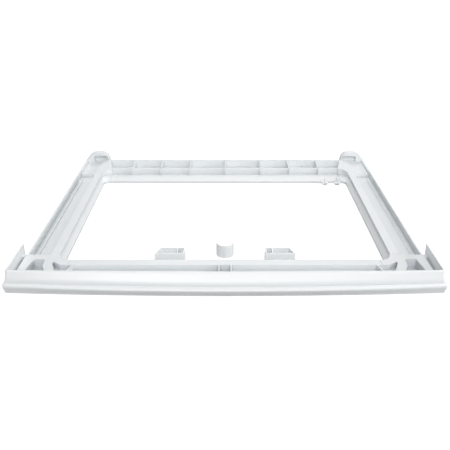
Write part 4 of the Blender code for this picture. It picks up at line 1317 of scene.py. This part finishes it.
for side in ("right", "left"):
    for end in ("front", "rear"):
        node = f"{side}_{end}_pad"
        low, high, middle = box_of(node)
        size = high - low
        pitch = size.y / RIDGE_COUNT
        rows = [low.y + pitch * (index + 0.5) - FRONT_EDGE for index in range(RIDGE_COUNT)]
        ridge_height = size.z - PAD_PLATE / 2
        ridge_spots = [(middle.x, depth, low.z + ridge_height / 2 - FOOT) for depth in rows]
        plate_spot = (middle.x, middle.y - FRONT_EDGE, high.z - PAD_PLATE / 2 - FOOT)
        pad_shells = [
            upright_row(ridge_spots, size.x, pitch * RIDGE_SHARE, ridge_height),
            upright_row([plate_spot], size.x, size.y, PAD_PLATE),
        ]
        pad = assembled(f"ridged_{node}", "pad_rubber", PAD_EDGE, pad_shells)
        hand_over(pad, "frame", "pad_rubber", node)

# %% [markdown]
# ## Screws
# Every screw here has the same parts: a head, a flange under it, a shank with a thread wound
# round it, and a tip. The thread is a spiral with a small three-sided section. The tree stands
# the screw up on its head, with the drive recess facing down, because all the screws of this kit
# stand that way. Each part reaches a hair into the one before it.

# %% Start the tree of the threaded screw
screw_sizes = {
    "Head Radius": 0.0025,
    "Head Height": 0.0012,
    "Head Sides": 24,
    "Drive Radius": 0.0012,
    "Flange Radius": 0.0027,
    "Flange Height": 0.0005,
    "Shank Radius": 0.0011,
    "Shank Length": 0.0085,
    "Tip Length": 0.0015,
    "Thread Pitch": 0.0009,
    "Thread Depth": 0.0002,
}
threaded_screw, given, made = geometry_tree("threaded_screw", screw_sizes)
sized = given.outputs


def screw_node(kind, values, **settings):
    """Adds a node to the screw's tree and returns its outputs."""
    return lay(threaded_screw, kind, values, **settings).outputs


def worked(operation, first, second):
    """A sum, product or quotient in the screw's tree."""
    return calculate(threaded_screw, operation, first, second)


def lifted(geometry, height):
    """Moves a geometry up by a height."""
    lift = screw_node("ShaderNodeCombineXYZ", {"Z": height})[0]
    return screw_node("GeometryNodeTransform", {"Geometry": geometry, "Translation": lift})[0]


def stub(sides, radius, height):
    """A closed cylinder that stands on zero."""
    values = {"Vertices": sides, "Radius": radius, "Depth": height}
    tube = screw_node("GeometryNodeMeshCylinder", values)["Mesh"]
    return lifted(tube, worked("MULTIPLY", height, 0.5))


print("the screw's tree takes", len(screw_sizes), "sizes")

# %% Make the head with its drive recess
FACING_DOWN = -0.9
DRIVE_SHARE = 0.6

head = stub(sized["Head Sides"], sized["Head Radius"], sized["Head Height"])
facing = screw_node("GeometryNodeInputNormal", {})[0]
up = screw_node("ShaderNodeSeparateXYZ", {"Vector": facing})["Z"]
below = screw_node("FunctionNodeCompare", {"A": up, "B": FACING_DOWN}, operation="LESS_THAN")[0]
rim = screw_node(
    "GeometryNodeExtrudeMesh",
    {"Mesh": head, "Selection": below, "Offset Scale": 0.0, "Individual": False},
)
narrowing = worked("DIVIDE", sized["Drive Radius"], sized["Head Radius"])
inset = screw_node(
    "GeometryNodeScaleElements",
    {"Geometry": rim["Mesh"], "Selection": rim["Top"], "Scale": narrowing},
)[0]
drive_depth = worked("MULTIPLY", sized["Head Height"], -DRIVE_SHARE)
drive = screw_node(
    "GeometryNodeExtrudeMesh",
    {"Mesh": inset, "Selection": rim["Top"], "Offset Scale": drive_depth, "Individual": False},
)["Mesh"]
print("the head's recess takes", DRIVE_SHARE, "of its height")

# %% Add the flange, the shank and the tip
FLANGE_SIDES = 32
SEATED_SHARE = 0.98
SHANK_SHARE = 0.999
TIP_SHARE = 0.35

flange_low = worked("MULTIPLY", sized["Head Height"], SEATED_SHARE)
flange = stub(FLANGE_SIDES, sized["Flange Radius"], sized["Flange Height"])
flange = lifted(flange, flange_low)
neck = worked("ADD", flange_low, worked("MULTIPLY", sized["Flange Height"], SEATED_SHARE))
shank = lifted(stub(FLANGE_SIDES, sized["Shank Radius"], sized["Shank Length"]), neck)
shank_top = worked("ADD", neck, worked("MULTIPLY", sized["Shank Length"], SHANK_SHARE))
tip = screw_node(
    "GeometryNodeMeshCone",
    {
        "Vertices": FLANGE_SIDES,
        "Radius Bottom": sized["Shank Radius"],
        "Radius Top": worked("MULTIPLY", sized["Shank Radius"], TIP_SHARE),
        "Depth": sized["Tip Length"],
    },
)
tip = lifted(tip["Mesh"], shank_top)
print("the tip narrows to", TIP_SHARE, "of the shank")

# %% Wind the thread and finish the tree
SPIRAL_STEPS = 14
CREST_SIDES = 3

spiral = screw_node(
    "GeometryNodeCurveSpiral",
    {
        "Resolution": SPIRAL_STEPS,
        "Rotations": worked("DIVIDE", sized["Shank Length"], sized["Thread Pitch"]),
        "Start Radius": sized["Shank Radius"],
        "End Radius": sized["Shank Radius"],
        "Height": sized["Shank Length"],
    },
)[0]
crest = screw_node(
    "GeometryNodeCurvePrimitiveCircle",
    {"Resolution": CREST_SIDES, "Radius": sized["Thread Depth"]},
)["Curve"]
thread = screw_node(
    "GeometryNodeCurveToMesh", {"Curve": spiral, "Profile Curve": crest, "Fill Caps": True}
)[0]
parts = lay(threaded_screw, "GeometryNodeJoinGeometry", {})
for part in (drive, flange, shank, tip, lifted(thread, neck)):
    threaded_screw.links.new(part, parts.inputs[0])
stood = on_points(threaded_screw, sized["Geometry"], parts.outputs[0])
finish_tree(threaded_screw, given, made, stood)

# %% [markdown]
# ### The screws under the corners
# Eight short zinc-plated screws hold the tongues. Only their heads show, and only from below.
# They all stand still in the frame, so they are grown as one mesh.

# %% Grow the joint screws
RECESS = 0.0005


def screws(name, spots, finish, sizes):
    """A piece of screws on the given spots, with smooth sides and sharp edges."""
    piece = new_piece(name, grown(threaded_screw, places(spots), finish, sizes), finish)
    piece.data.shade_smooth()
    piece.data.set_sharp_from_angle(angle=SMOOTH_UNDER)
    return piece


joints = [
    f"{side}_{end}_{bar}_screw"
    for side in ("right", "left")
    for end in ("front", "rear")
    for bar in ("crossbar", "rail")
]
middles = [box_of(node)[2] for node in joints]
joint_spots = [(middle.x, middle.y - FRONT_EDGE, RECESS) for middle in middles]
joint_set = screws("joint_screws", joint_spots, "screw_steel", {})
hand_over(joint_set, "frame", "screw_steel", *joints)

# %% [markdown]
# ### The two loose screws
# They are larger, moulded in the same white as the loose brackets, and have a hexagon head with a
# wide flange, so that fingers or a spanner can turn them. Each lies by itself, so each is its own
# piece on its own body.

# %% Grow the fixing screws
FIXING_SIZES = {
    "Head Radius": 0.004,
    "Head Height": 0.0034,
    "Head Sides": 6,
    "Drive Radius": 0.0018,
    "Flange Radius": 0.0065,
    "Flange Height": 0.0012,
    "Shank Radius": 0.0019,
    "Shank Length": 0.0092,
    "Tip Length": 0.0021,
    "Thread Pitch": 0.0016,
    "Thread Depth": 0.0003,
}

for number in (1, 2):
    node = f"fixing_screw_{number}"
    low, _, middle = box_of(node)
    spot = (middle.x, middle.y - FRONT_EDGE, low.z - FOOT)
    screw = screws(f"threaded_{node}", [spot], "accessory_white", FIXING_SIZES)
    hand_over(screw, node, "accessory_white", node)

# %% [markdown]
# ## The solids themselves
# Every solid now has a dressed piece in its place, and is hidden behind it. The solids still take
# the finish of their own slot, so that whoever shows them sees the same kit, only plainer.

# %% Give every solid its finish
slots = {row["node"]: row["material_slot"] for row in frame["record"]["subparts"]}
for name, node in nodes.items():
    node.data.materials.clear()
    node.data.materials.append(FINISHES[slots[name]])
print(len(slots), "solids have a finish")
